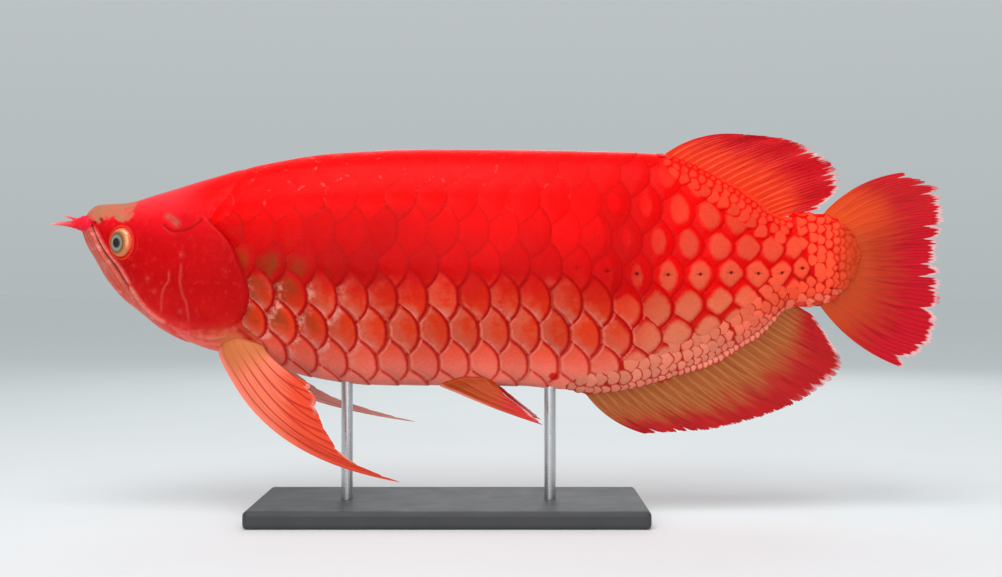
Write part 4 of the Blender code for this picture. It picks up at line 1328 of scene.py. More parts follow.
@dataclass
class SmallFields:
    """Where small scales take over from the big ones: along both long fins and on the tail's root."""

    anal_edge: Rows = (
        (80.0, 89.0), (97.8, 85.4), (117.0, 87.6), (136.4, 91.1), (162.9, 99.2), (184.0, 106.5),
        (202.7, 117.7), (216.0, 125.5), (230.6, 140.3), (240.0, 149.0),
    )
    anal_width: Rows = ((80.0, 4.0), (97.8, 9.5), (117.0, 12.5), (150.0, 16.5), (184.0, 18.5), (210.0, 19.0),
                        (240.0, 15.0))
    dorsal_edge: Rows = (
        (146.0, 254.0), (158.0, 249.4), (169.8, 244.0), (189.6, 232.6), (209.4, 219.6), (225.0, 207.5),
        (236.0, 205.0),
    )
    dorsal_width: Rows = ((146.0, 6.0), (160.0, 11.5), (190.0, 15.0), (215.0, 13.0), (236.0, 9.0))
    tail_front: float = 246.0
    tail_bulge: float = 11.0
    lateral: float = 172.0

    def __post_init__(self) -> None:
        """Draws both edges as smooth curves once."""
        self.anal_curve, self.dorsal_curve = curve_through(self.anal_edge), curve_through(self.dorsal_edge)

    def tail_start(self, z: np.ndarray) -> np.ndarray:
        """Where the small scales of the tail begin, furthest back on the lateral line."""
        return self.tail_front + self.tail_bulge * hill(z - self.lateral, 10.0) - 8.0 * ease(164, 156, z)

    def depth(self, x: np.ndarray, z: np.ndarray) -> np.ndarray:
        """How far places lie inside a field of small scales.

        Args:
            x: places along the fish.
            z: their heights.

        Returns:
            Millimetres, below zero outside every field.
        """
        anal, dorsal = near_line(x, z, self.anal_curve), near_line(x, z, self.dorsal_curve)
        low = np.minimum(smooth_line(self.anal_width)(x) - anal.left, x - self.anal_edge[0][0])
        low = np.where(anal.share > 0.998, -20.0, low)
        high = np.minimum(smooth_line(self.dorsal_width)(x) + dorsal.left, x - self.dorsal_edge[0][0])
        return np.maximum(np.maximum(low, high), x - self.tail_start(z))


@dataclass(frozen=True)
class PlateGrid:
    """Where the points of many plates lie: on the body, in rows and columns, and against their edges."""

    row: np.ndarray
    across: np.ndarray
    tip: np.ndarray
    back: np.ndarray
    x: np.ndarray
    girth: np.ndarray
    length: np.ndarray
    wide: np.ndarray
    rim: np.ndarray
    front: np.ndarray


@dataclass(frozen=True)
class PlateForm:
    """How the big scales stand out: spans of places, and pairs of a least amount and what comes on top."""

    clear_girth: Span = (0.42, 0.62)
    clear_x: Span = (105, 150)
    clear_lift: Span = (0.20, 0.80)
    size_lift: Span = (0.55, 0.45)
    nape_z: Span = (200, 225)
    nape_reach: Span = (6, 70)
    nape_calm: float = 0.8
    small_reach: Span = (-8, 0.5)
    small_calm: float = 0.72
    puffs: tuple[float, float, float] = (0.22, 0.42, 0.40)
    puff_x: Span = (110, 170)
    rim_cell: float = 0.30
    back_slope: float = 0.76
    back_limit: float = 1.35
    rim_sinks: Span = (0.06, 0.10)
    rim_width: float = 0.5
    pore_back: float = 0.50
    pore_width: float = 1.6
    tucks_at: Span = (2.6, 13)
    small_tucks: Span = (1.6, 3.6)
    tuck_depth: Span = (1.9, 0.9)
    oval_back: float = 0.52
    fuller: Span = (0.34, 0.30)
    fuller_x: Span = (118, 190)
    fuller_girth: Span = (0.50, 0.70)
    bow: Span = (2, 0.55)
    bow_girth: Span = (0.48, 0.62)


@dataclass
class ScaleCoat:
    """The big overlapping scales: closed plates in rows round the body that shorten towards the tail."""

    body: Body
    head: HeadForm
    fields: SmallFields
    rows: int = 16
    first_column: int = -18
    rear_from: int = -5
    last_column: int = 8
    columns: Rows = (
        (-20.0, -275.0), (-1.0, 118.3), (0.0, 139.0), (1.0, 161.0), (2.0, 182.5), (3.0, 202.5), (4.0, 221.0),
        (5.0, 237.0), (6.0, 250.0), (7.0, 260.0), (8.0, 269.0), (9.0, 277.0), (10.0, 284.0),
    )
    rear_rows: Rows = (
        (0.0, 0.0), (1.0, 0.142), (2.0, 0.283), (3.0, 0.422), (4.0, 0.550), (5.0, 0.685), (6.0, 0.800),
        (7.0, 0.895), (8.0, 1.0),
    )
    stalk_rows: Rows = (
        (0.0, 0.0), (1.0, 0.07), (2.0, 0.18), (3.0, 0.375), (4.0, 0.590), (5.0, 0.780), (6.0, 0.890),
        (7.0, 0.95), (8.0, 1.0),
    )
    lean: float = 0.15
    length: float = 20.7
    lift: float = 1.45
    midline_lift: float = 0.45
    reach: float = 0.97
    power: float = 2.5
    pointed: float = 1.0
    oval_long: Rows = ((105.0, 0.12), (130.0, 0.18), (150.0, 0.26), (185.0, 0.37), (215.0, 0.45),
                       (262.0, 0.50))
    oval_high: Rows = ((105.0, 0.18), (130.0, 0.30), (150.0, 0.42), (262.0, 0.56))
    half: float = 0.83
    root: float = 1.34
    thickness: float = 0.36
    tip_wobble: float = 0.07
    width_wobble: float = 0.03
    slant_wobble: float = 0.05
    lift_wobble: float = 0.22
    pillow_wobble: float = 0.3
    pore_depth: float = 0.7
    form: PlateForm = PlateForm()
    root_depth: float = 0.9
    along_steps: int = 17
    across_steps: int = 19
    seed: int = 11

    def column_x(self, column: np.ndarray) -> np.ndarray:
        """Where a column lies along the body, in millimetres."""
        return smooth_line(self.columns)(column)

    def row_girth(self, row: np.ndarray, x: np.ndarray) -> np.ndarray:
        """Where a row lies round the body: even on the trunk, then drawn down to the lateral line behind it.

        Args:
            row: the row, with its place across as a fraction.
            x: the place along the body.

        Returns:
            The girth, from 0 to 2.
        """
        half_rows = self.rows / 2
        row = np.mod(row, self.rows)
        side_row = np.where(row <= half_rows, row, self.rows - row)
        rear, stalk = ease(80, 170, x), ease(190, 242, x)
        place = side_row / half_rows
        place = place + rear * (smooth_line(self.rear_rows)(side_row) - place)
        place = place + stalk * (smooth_line(self.stalk_rows)(side_row) - place)
        return np.where(row <= half_rows, place, 2 - place)

    def tip_of(self, row: np.ndarray, column: np.ndarray) -> np.ndarray:
        """A scale's tip in columns: rows alternate by half a scale, and lean back from the lateral line."""
        side_row = np.minimum(row, self.rows - row)
        return column + (row % 2) / 2 + self.lean * np.abs(side_row - self.rows / 4)

    def edge(self, across: np.ndarray, tip: np.ndarray) -> np.ndarray:
        """How far a scale's free edge falls back from its tip, in columns: round in front, pointed behind."""
        return self.reach * np.abs(across) ** (self.power - self.pointed * ease(-1, 3, tip))

    def plates(self) -> list[tuple[int, int]]:
        """The row and column of every scale that shows.

        Returns:
            Pairs whose tip lies behind the head's smooth skin and whose middle lies outside the small scales.
        """
        found = []
        for row in range(self.rows):
            for column in range(self.first_column, self.last_column + 1):
                tip = self.tip_of(np.array(row), np.array(column))
                tip_x, middle_x = self.column_x(tip), self.column_x(tip - 0.75)
                if tip_x > self.body.end:
                    continue
                place = self.body.at(tip_x, self.row_girth(np.array(float(row)), tip_x))
                middle = self.body.at(middle_x, self.row_girth(np.array(float(row)), middle_x))
                shows = self.fields.depth(middle[None, 0], middle[None, 2])[0] < 4.0
                if shows and self.head.behind(place[None, 0], place[None, 2])[0] > 3.0:
                    found.append((row, column))
        return found

    def spread(self, cells: np.ndarray, draws: list[np.ndarray], s: np.ndarray, t: np.ndarray) -> PlateGrid:
        """Lays a grid of points over each plate.

        Args:
            cells: a row and column for each plate.
            draws: random numbers from -0.5 to 0.5, a set for each plate.
            s: shares of the way from a plate's root to its free edge.
            t: places across it, from -1 to 1.

        Returns:
            The points' places and distances.
        """
        row, column = cells[:, 0, None, None], cells[:, 1, None, None]
        tip = self.tip_of(row, column) + self.tip_wobble * draws[0]
        across = self.half * t * np.ones_like(s) * (1 + self.width_wobble * draws[1])
        rim_u = tip - self.edge(across, tip) + self.slant_wobble * draws[2] * across
        u = (tip - self.root) + (rim_u - tip + self.root) * s
        x = self.column_x(u)
        girth = self.row_girth(row + across, x)
        length = self.column_x(tip) - self.column_x(tip - 1)
        wide = self._row_width(x, girth, row + across)
        rim = self._to_edge((rim_u - u) * length, across * wide, tip, length, wide)
        same_row = tip - u - 1 - self.edge(across, tip)
        next_row = np.mod(row + np.where(across < 0, -1, 1), self.rows)
        ahead = np.mod(self.tip_of(next_row, 0 * next_row) - self.tip_of(row, 0 * row), 1) - 1
        beside = tip - u + ahead - self.edge(1 - np.abs(across), tip)
        front = -np.maximum(same_row, beside) * length
        return PlateGrid(row, across, tip, tip - u, x, girth, length, wide, rim, front)

    def relief(self, grid: PlateGrid, draws: list[np.ndarray], lateral: np.ndarray) -> np.ndarray:
        """How far the plates' upper sides stand off the body.

        Args:
            grid: the plates' points.
            draws: random numbers from -0.5 to 0.5, a set for each plate.
            lateral: 1 on the scales that hold a pore of the lateral line.

        Returns:
            The rise of each point, in millimetres.
        """
        form, x, on_side, taper = self.form, grid.x, to_left(grid.girth), grid.length / self.length
        shown = np.maximum(ease(*form.clear_girth, on_side), ease(*form.clear_x, x))
        sideways = np.abs(np.sin(2 * math.pi * (grid.row + grid.across) / self.rows))
        lift = self.lift * (self.midline_lift + (1 - self.midline_lift) * np.clip(1.6 * sideways, 0, 1))
        lift = lift * (form.size_lift[0] + form.size_lift[1] * taper) * (1 + self.lift_wobble * draws[3])
        lift = lift * (form.clear_lift[0] + form.clear_lift[1] * shown)
        place = self.body.at(x, grid.girth)
        flat_x, flat_z = place[..., 0].ravel(), place[..., 2].ravel()
        behind = self.head.behind(flat_x, flat_z).reshape(x.shape)
        small = self.fields.depth(flat_x, flat_z).reshape(x.shape)
        nape = ease(*form.nape_z, place[..., 2])
        settled = 1 - nape * (1 - ease(*form.nape_reach, behind)) * form.nape_calm
        settled = settled * (1 - form.small_calm * ease(*form.small_reach, small))
        cell = np.minimum(grid.rim, grid.front) / (form.rim_cell * grid.length)
        puff = form.puffs[0] + form.puffs[1] * shown + form.puffs[2] * ease(*form.puff_x, x)
        puff = puff + self.pillow_wobble * draws[4]
        rise = lift * (1 - form.back_slope * np.clip(grid.back, 0, form.back_limit)) * settled
        rise = rise + ease(0, 1, cell) * puff * taper**0.4 * settled * ease(0.0, 0.4, sideways)
        rise = rise - (form.rim_sinks[0] + form.rim_sinks[1] * shown) * hill(grid.rim, form.rim_width)
        from_pore = np.hypot((grid.back - form.pore_back) * grid.length, grid.across * grid.wide)
        rise = rise - self.pore_depth * hill(from_pore, form.pore_width) * lateral
        tucks_at = form.tucks_at[0] + form.tucks_at[1] * nape
        tucked = np.maximum(ease(tucks_at, -0.4, behind), ease(*form.small_tucks, small))
        depth = form.tuck_depth[0] - form.tuck_depth[1] * nape * ease(40, 20, behind)
        return rise * (1 - tucked) - depth * tucked

    def oval(self, grid: PlateGrid) -> np.ndarray:
        """How far out points lie in the coloured middle of their scale.

        Args:
            grid: the points.

        Returns:
            0 at the middle and 1 on its edge.
        """
        form, on_side = self.form, to_left(grid.girth)
        fuller = form.fuller[0] - form.fuller[1] * ease(*form.fuller_x, grid.x)
        fuller = fuller * ease(*form.fuller_girth, on_side)
        bow = form.bow[0] - form.bow[1] * ease(*form.bow_girth, on_side)
        lengthwise = np.abs((grid.back - form.oval_back) / (smooth_line(self.oval_long)(grid.x) + fuller))
        sideways = np.abs(grid.across / (smooth_line(self.oval_high)(grid.x) + fuller))
        return (lengthwise**bow + sideways**bow) ** (1 / bow)

    def plate_points(self, cells: np.ndarray, draws: np.ndarray) -> tuple[np.ndarray, Values, np.ndarray]:
        """The points of many plates at once.

        Args:
            cells: a row and column for each plate.
            draws: random numbers from 0 to 1, a set for each plate.

        Returns:
            The points, upper side first, their values and their places on the bake map.
        """
        s = (1 - (1 - np.linspace(0, 1, self.along_steps)) ** 1.25)[None, :, None]
        t = np.linspace(-1, 1, self.across_steps)[None, None, :]
        centred = [draws[:, i, None, None] - 0.5 for i in range(5)]
        grid = self.spread(cells, centred, s, t)
        row, x, girth = grid.row, grid.x, grid.girth
        lateral = (np.minimum(row, self.rows - row) == self.rows // 4) * ease(60, 130, x)
        low = ease(0, 0.16, s) * np.ones_like(x)
        rise = self.relief(grid, centred, lateral) * low - self.root_depth * (1 - low)
        thickness = self.thickness * (0.55 + 0.45 * ease(0, 1.2, grid.rim))
        points = np.stack([self.body.at(x, girth, rise), self.body.at(x, girth, rise - thickness)], axis=1)

        def twice(value: np.ndarray) -> np.ndarray:
            """The same value for the upper and the under side."""
            full = np.broadcast_to(value, x.shape)
            return np.stack([full, full], axis=1).ravel()

        downwards = np.where(np.mod(row, self.rows) <= self.rows / 2, grid.across, -grid.across)
        values = {
            "rim": grid.rim, "front": grid.front, "girth": to_left(girth), "along": x * MM, "down": downwards,
            "tint": draws[:, 5, None, None], "shade": draws[:, 6, None, None], "pore": lateral,
            "pore_x": (grid.back - 0.50) * grid.length, "pore_z": grid.across * grid.wide,
            "oval": self.oval(grid),
        }
        root_x = self.column_x(grid.tip - self.root)
        middle = self.body.on_map(root_x, self.row_girth(row, root_x))
        patches = [twice(middle[..., i] + PATCH * part) for i, part in enumerate((s - 0.5, t / 2))]
        values = {word: twice(value) for word, value in values.items()}
        return points.reshape(-1, 3), values, np.stack(patches, axis=-1)

    def _row_width(self, x: np.ndarray, girth: np.ndarray, row: np.ndarray) -> np.ndarray:
        """How many millimetres round the body one row measures, at each place."""
        next_place = self.body.at(x, self.row_girth(row + 0.05, x))
        here = self.body.at(x, girth)
        return np.linalg.norm(next_place - here, axis=-1) / 0.05

    def _to_edge(self, ahead: np.ndarray, sideways: np.ndarray, tip: np.ndarray, length: np.ndarray,
                 wide: np.ndarray) -> np.ndarray:
        """The true distance of each point to its plate's free edge.

        Args:
            ahead: how far each point lies ahead of the edge along the body.
            sideways: how far it lies from the plate's middle line.
            tip: the plates' tips in columns.
            length: the plates' column in millimetres.
            wide: a row's width in millimetres at each point.

        Returns:
            Distances in millimetres.
        """
        steps = np.linspace(-self.half, self.half, 25)[None, None, :]
        edge_back = (self.edge(steps, tip) * length)[:, :, None, :]
        edge_across = (steps * wide.mean(axis=(1, 2), keepdims=True))[:, :, None, :]
        share = np.clip(sideways[..., None] / edge_across[..., -1:], -1, 1)
        power = (self.power - self.pointed * ease(-1, 3, tip))[..., None]
        own_back = np.abs(share) ** power * edge_back[..., -1:]
        gap = np.hypot(ahead[..., None] + own_back - edge_back, sideways[..., None] - edge_across)
        return gap.min(axis=-1)

    def build(self, name: str, cells: list[tuple[int, int]], seed: int) -> bpy.types.Object:
        """Builds one piece of the coat.

        Args:
            name: the piece's name.
            cells: the rows and columns of its plates.
            seed: the start of its random draws.

        Returns:
            The object.
        """
        draws = np.random.default_rng(seed).random((len(cells), 7))
        points, values, patches = self.plate_points(np.array(cells), draws)
        one = closed_sheet(self.along_steps, self.across_steps)
        grid = self.along_steps * self.across_steps
        faces = (one[None] + (np.arange(len(cells)) * 2 * grid)[:, None, None]).reshape(-1, 4)
        return mesh_piece(name, points, [faces], values, patches, sharp=55.0)

    def make(self, finish: bpy.types.Material) -> None:
        """Builds and dresses the coat in pieces by side and length.

        Args:
            finish: the scales' material.
        """
        cells = self.plates()
        half = self.rows // 2
        groups = {
            "scales_left_front": [c for c in cells if 0 < c[0] < half and c[1] < self.rear_from],
            "scales_left_rear": [c for c in cells if 0 < c[0] < half and c[1] >= self.rear_from],
            "scales_right_front": [c for c in cells if c[0] > half and c[1] < self.rear_from],
            "scales_right_rear": [c for c in cells if c[0] > half and c[1] >= self.rear_from],
            "scales_midline": [c for c in cells if c[0] % half == 0],
        }
        for i, (name, members) in enumerate(groups.items()):
            settle(self.build(name, members, self.seed + i), finish, "scales")


@dataclass(frozen=True)
class Spots:
    """Where many small scales lie, which ways they face, how big they are and where on the flank that is."""

    place: np.ndarray
    ahead: np.ndarray
    normal: np.ndarray
    length: np.ndarray
    width: np.ndarray
    x: np.ndarray
    girth: np.ndarray


@dataclass
class SmallScales:
    """Small domed scales in staggered rows along the fins' roots and over the root of the tail."""

    body: Body
    fields: SmallFields
    pitch: float = 5.6
    rings: int = 6
    spokes: int = 16
    front_growth: float = 0.5
    sheath_start: float = 1.3
    sheath_slope: float = 0.46
    sheath_top: float = 15.0
    fillet: float = 2.5
    under_scales: float = 0.25
    edge_rows: int = 6
    tail_sizes: Rows = ((236.0, 8.2), (262.0, 5.9), (286.0, 4.3))
    tail_heights: Rows = ((236.0, 70.0), (246.0, 66.0), (262.0, 58.0), (280.0, 42.0), (286.0, 26.0))
    loose: float = 1.0
    loose_on_tail: float = 2.2
    over_length: float = 0.74
    over_width: float = 0.64
    squareness: float = 1.6
    stand: float = 0.55
    skirt: float = 2.2
    seed: int = 41

    def sheath_out(self, x: np.ndarray, z: np.ndarray) -> np.ndarray:
        """How far from the middle plane the scaled root of the anal fin stands, blended into the flank.

        Args:
            x: places along the fish.
            z: their heights.

        Returns:
            Distances from the middle plane.
        """
        rise = np.maximum(near_line(x.ravel(), z.ravel(), self.fields.anal_curve).left, 0).reshape(x.shape)
        fillet = self.sheath_start + self.sheath_slope * rise
        girth = self.body.girths_at(x, z)
        flank = self.body.at(x, girth)
        own = np.where(z <= flank[..., 2] - 0.4, 0.0, -flank[..., 1])
        near = np.maximum(self.fillet - np.abs(own - fillet), 0)
        return np.maximum(own, fillet) + near**2 / (4 * self.fillet)

    def sheath_normal(self, x: np.ndarray, z: np.ndarray, reach: float = 0.6) -> np.ndarray:
        """The way out of the anal fin's scaled root, from how it stands a little way off on each side."""
        along, up = ((self.sheath_out(x + dx, z + dz) - self.sheath_out(x - dx, z - dz)) / (2 * reach)
                     for dx, dz in ((reach, 0.0), (0.0, reach)))
        return unit(np.stack([-along, -np.ones_like(x), -up], axis=-1))

    def along_edge(self, curve: np.ndarray, width: Line, away: float, growth: float,
                   lengths: float) -> tuple[np.ndarray, ...]:
        """Staggered places in rows beside a fin's root line.

        Args:
            curve: the root line, headwards end first.
            width: how wide the field is, by place along the fish.
            away: 1 for a field above its line and -1 for one below.
            growth: how much wider the row furthest from the line is than the nearest.
            lengths: a scale's length over its width.

        Returns:
            The places' x and z, their directions in the side view, their lengths and their widths.
        """
        def local(x: np.ndarray) -> np.ndarray:
            """How much larger the scales are at the front of the anal fin's root."""
            return 1 + (away > 0) * self.front_growth * ease(180, 110, x)

        run = np.cumsum(np.hypot(*np.diff(curve, axis=0).T) / local(curve[1:, 0]))
        run = np.concatenate([[0], run])
        found = []
        sizes = self.pitch * (0.9 + growth * np.linspace(0, 1, self.edge_rows))
        outs = np.cumsum(sizes * 0.80) - sizes * 0.40
        for row, (size, out) in enumerate(zip(sizes, outs)):
            step = size * lengths
            steps = np.arange(step * (0.5 + 0.5 * (row % 2)), run[-1], step)
            x, z = (np.interp(steps, run, side) for side in curve.T)
            ahead = np.stack([np.interp(steps + 1, run, side) for side in curve.T]) - np.stack([x, z])
            ahead = ahead / np.maximum(np.hypot(*ahead), 1e-6)
            full = local(x)
            kept = (full * out < width(x) + 0.5 * size * full) & (np.hypot(*ahead) > 0.5)
            x, z = x - away * ahead[1] * out * full, z + away * ahead[0] * out * full
            found.append(np.stack([x, z, ahead[0], ahead[1], full * step, full * size])[:, kept])
        return tuple(np.concatenate(found, axis=1))

    def on_tail(self) -> tuple[np.ndarray, ...]:
        """Staggered places over the root of the tail.

        Returns:
            The places' x and z, their directions in the side view, their lengths and their widths.
        """
        found = []
        x, column = self.fields.tail_front - 9.0, 0
        while x < self.body.end + 1.5:
            size, height = (float(np.interp(x, *zip(*rows))) for rows in (self.tail_sizes, self.tail_heights))
            count = max(round(height / size), 3)
            place = min(x, self.body.end - 0.6)
            girth = np.clip((np.arange(count + column % 2) + 0.5 - 0.5 * (column % 2)) / count, 0.02, 0.98)
            full = np.ones(len(girth))
            z = self.body.at(place * full, girth)[:, 2]
            across = size * (1 + 0.35 * hill(z - self.fields.lateral, 6.0) * (x < 262))
            kept = place > self.fields.tail_start(z) - 0.6 * size
            found.append(np.stack([place * full, z, full, 0 * full, across, across])[:, kept])
            x, column = x + 0.86 * size, column + 1
        return tuple(np.concatenate(found, axis=1))

    def spots(self, rng: np.random.Generator) -> Spots:
        """Lays out one flank's small scales.

        Args:
            rng: where the random draws come from.

        Returns:
            The scales' places, as on the left side.
        """
        fields = self.fields
        anal = self.along_edge(fields.anal_curve, smooth_line(fields.anal_width), 1, 1.5, 0.84)
        dorsal = self.along_edge(fields.dorsal_curve, smooth_line(fields.dorsal_width), -1, 1.7, 0.95)
        tail = self.on_tail()
        x, z, run, climb, length, width = (np.concatenate(parts) for parts in zip(anal, dorsal, tail))
        number = np.arange(len(x))
        loose = np.where(number < len(x) - len(tail[0]), self.loose, self.loose_on_tail)
        x, z = x + loose * (rng.random(len(x)) - 0.5), z + loose * (rng.random(len(z)) - 0.5)
        on_sheath = (number < len(anal[0]))[:, None]
        girth = self.body.girths_at(x, z)
        out = self.sheath_normal(x, z)
        sheath = np.stack([x, -self.sheath_out(x, z), z], axis=-1) - self.under_scales * out
        place = np.where(on_sheath, sheath, self.body.at(x, girth))
        normal = np.where(on_sheath, out, self.body.normal(x, girth))
        ahead = np.stack([run, np.zeros_like(run), climb], axis=-1)
        ahead = unit(ahead - normal * (ahead * normal).sum(axis=1, keepdims=True))
        sunk = 0.65 * ease(262, 284, x) + 0.4 * ease(104, 84, x)
        return Spots(place - sunk[:, None] * normal, ahead, normal, length, width, x, girth)

    def domes(self, spots: Spots, mirror: np.ndarray, draws: np.ndarray) -> tuple[np.ndarray, Values]:
        """The points of many small scales at once.

        Args:
            spots: the scales' places on the left side.
            mirror: factors that bring them to their own side.
            draws: random numbers from 0 to 1, a set for each scale.

        Returns:
            The points, and values at them.
        """
        ahead, normal = spots.ahead * mirror, spots.normal * mirror
        length, width, *draws = (part[:, None, None] for part in (spots.length, spots.width, *draws.T))
        radius = np.append(np.linspace(0.12, 1, self.rings), 1.0)[None, :, None]
        skirt = np.append(np.zeros(self.rings), 1.0)[None, :, None]
        turn = circle(self.spokes)[None, None, :]
        size = np.minimum(length, width)
        corner = sum(np.abs(way(turn)) ** self.squareness for way in (np.cos, np.sin))
        corner = 1.13 * corner ** (-1 / self.squareness) * (1 + 0.05 * np.cos(5 * turn + 6.28 * draws[1]))
        grown = radius * corner * (1 + 0.16 * (draws[0] - 0.5))
        a = self.over_length * length * np.cos(turn) * grown
        b = self.over_width * width * np.sin(turn) * grown
        dome = 0.085 * size * (1 - radius**2.2) + 0.08 * a * (0.7 + 0.6 * draws[2])
        h = self.stand + dome - self.skirt * skirt + 0.10 * (draws[3] - 0.5)
        parts = (a, ahead), (b, np.cross(normal, ahead)), (h, normal)
        points = (spots.place * mirror)[:, None, None]
        points = points + sum(value[..., None] * way[:, None, None] for value, way in parts)
        values = {
            "rim": (1 - radius) * 0.95 * size, "front": (a + 0.36 * length) * 2.2, "down": 0.8 * b / size,
            "tint": draws[4], "shade": draws[5], "oval": radius, "pore": 0.0, "pore_x": 0.0, "pore_z": 0.0,
            "along": np.maximum(spots.x, 170.0)[:, None, None] * MM,
            "girth": np.clip(spots.girth, 0, 1)[:, None, None],
        }
        return points, {word: np.broadcast_to(value, a.shape).ravel() for word, value in values.items()}

    def build(self, side: Side) -> bpy.types.Object:
        """Builds one side's small scales.

        Args:
            side: which flank.

        Returns:
            The object.
        """
        rng = np.random.default_rng(self.seed + side.value)
        spots = self.spots(rng)
        mirror = np.array([1.0, -side.value, 1.0])
        points, values = self.domes(spots, mirror, rng.random((len(spots.x), 6)))
        rows = points.shape[1]
        starts = (np.arange(len(spots.x)) * rows * self.spokes)[:, None, None]
        sides = (sheet_faces(rows, self.spokes, True)[None] + starts).reshape(-1, 4)
        tops = (np.arange(self.spokes)[None, None] + starts).reshape(-1, self.spokes)
        if side is Side.RIGHT:
            sides, tops = sides[:, ::-1], tops[:, ::-1]
        middle = self.body.on_map(spots.x, spots.girth if side is Side.LEFT else 2 - spots.girth)
        turn, reach = circle(self.spokes), np.append(np.linspace(0.12, 1, self.rings), 1.0)[:, None]
        patch = np.stack([reach * np.cos(turn), reach * np.sin(turn)], axis=-1) * PATCH / 2
        return mesh_piece(f"small_scales_{side.word}", points.reshape(-1, 3), [sides, tops], values,
                          (middle[:, None, None] + patch[None]).reshape(-1, 2), sharp=50.0)

    def build_sheath(self) -> bpy.types.Object:
        """Builds the fleshy root of the anal fin that the small scales lie on.

        Returns:
            The object.
        """
        curve = self.fields.anal_curve
        rise = np.concatenate([[0.0, 0.35], np.linspace(1.0, self.sheath_top, 16)])
        line = unit(np.diff(curve, axis=0, append=2 * curve[-1:] - curve[-2:-1]))
        x = curve[:, :1] - line[:, 1:] * rise
        z = curve[:, 1:] + line[:, :1] * rise
        out = self.sheath_out(x, z) - self.under_scales
        out[:, 0], out[:, 1] = 0.35, 0.9
        left, right = np.stack([x, -out, z], axis=-1), np.stack([x, out, z], axis=-1)
        points = np.concatenate([left[:, ::-1], right], axis=1)
        rows, columns = points.shape[:2]
        ends = [np.arange(columns)[None, :], (np.arange(columns) + (rows - 1) * columns)[None, ::-1]]
        flat = points.reshape(-1, 3)
        zero = np.zeros(len(flat))
        values = dict.fromkeys(("rim", "front", "down", "oval", "pore", "pore_x", "pore_z"), zero)
        values |= {"tint": zero + 0.5, "shade": zero + 0.5, "girth": zero + 0.93, "along": flat[:, 0] * MM}
        faces = [sheet_faces(rows, columns, True)[:, ::-1], *ends]
        return mesh_piece("anal_fin_sheath", flat, faces, values)

    def make(self, finish: bpy.types.Material) -> None:
        """Builds and dresses the small scales and the fin's root under them.

        Args:
            finish: the scales' material.
        """
        for side in Side:
            settle(self.build(side), finish, "scales")
        settle(self.build_sheath(), finish, "scales")


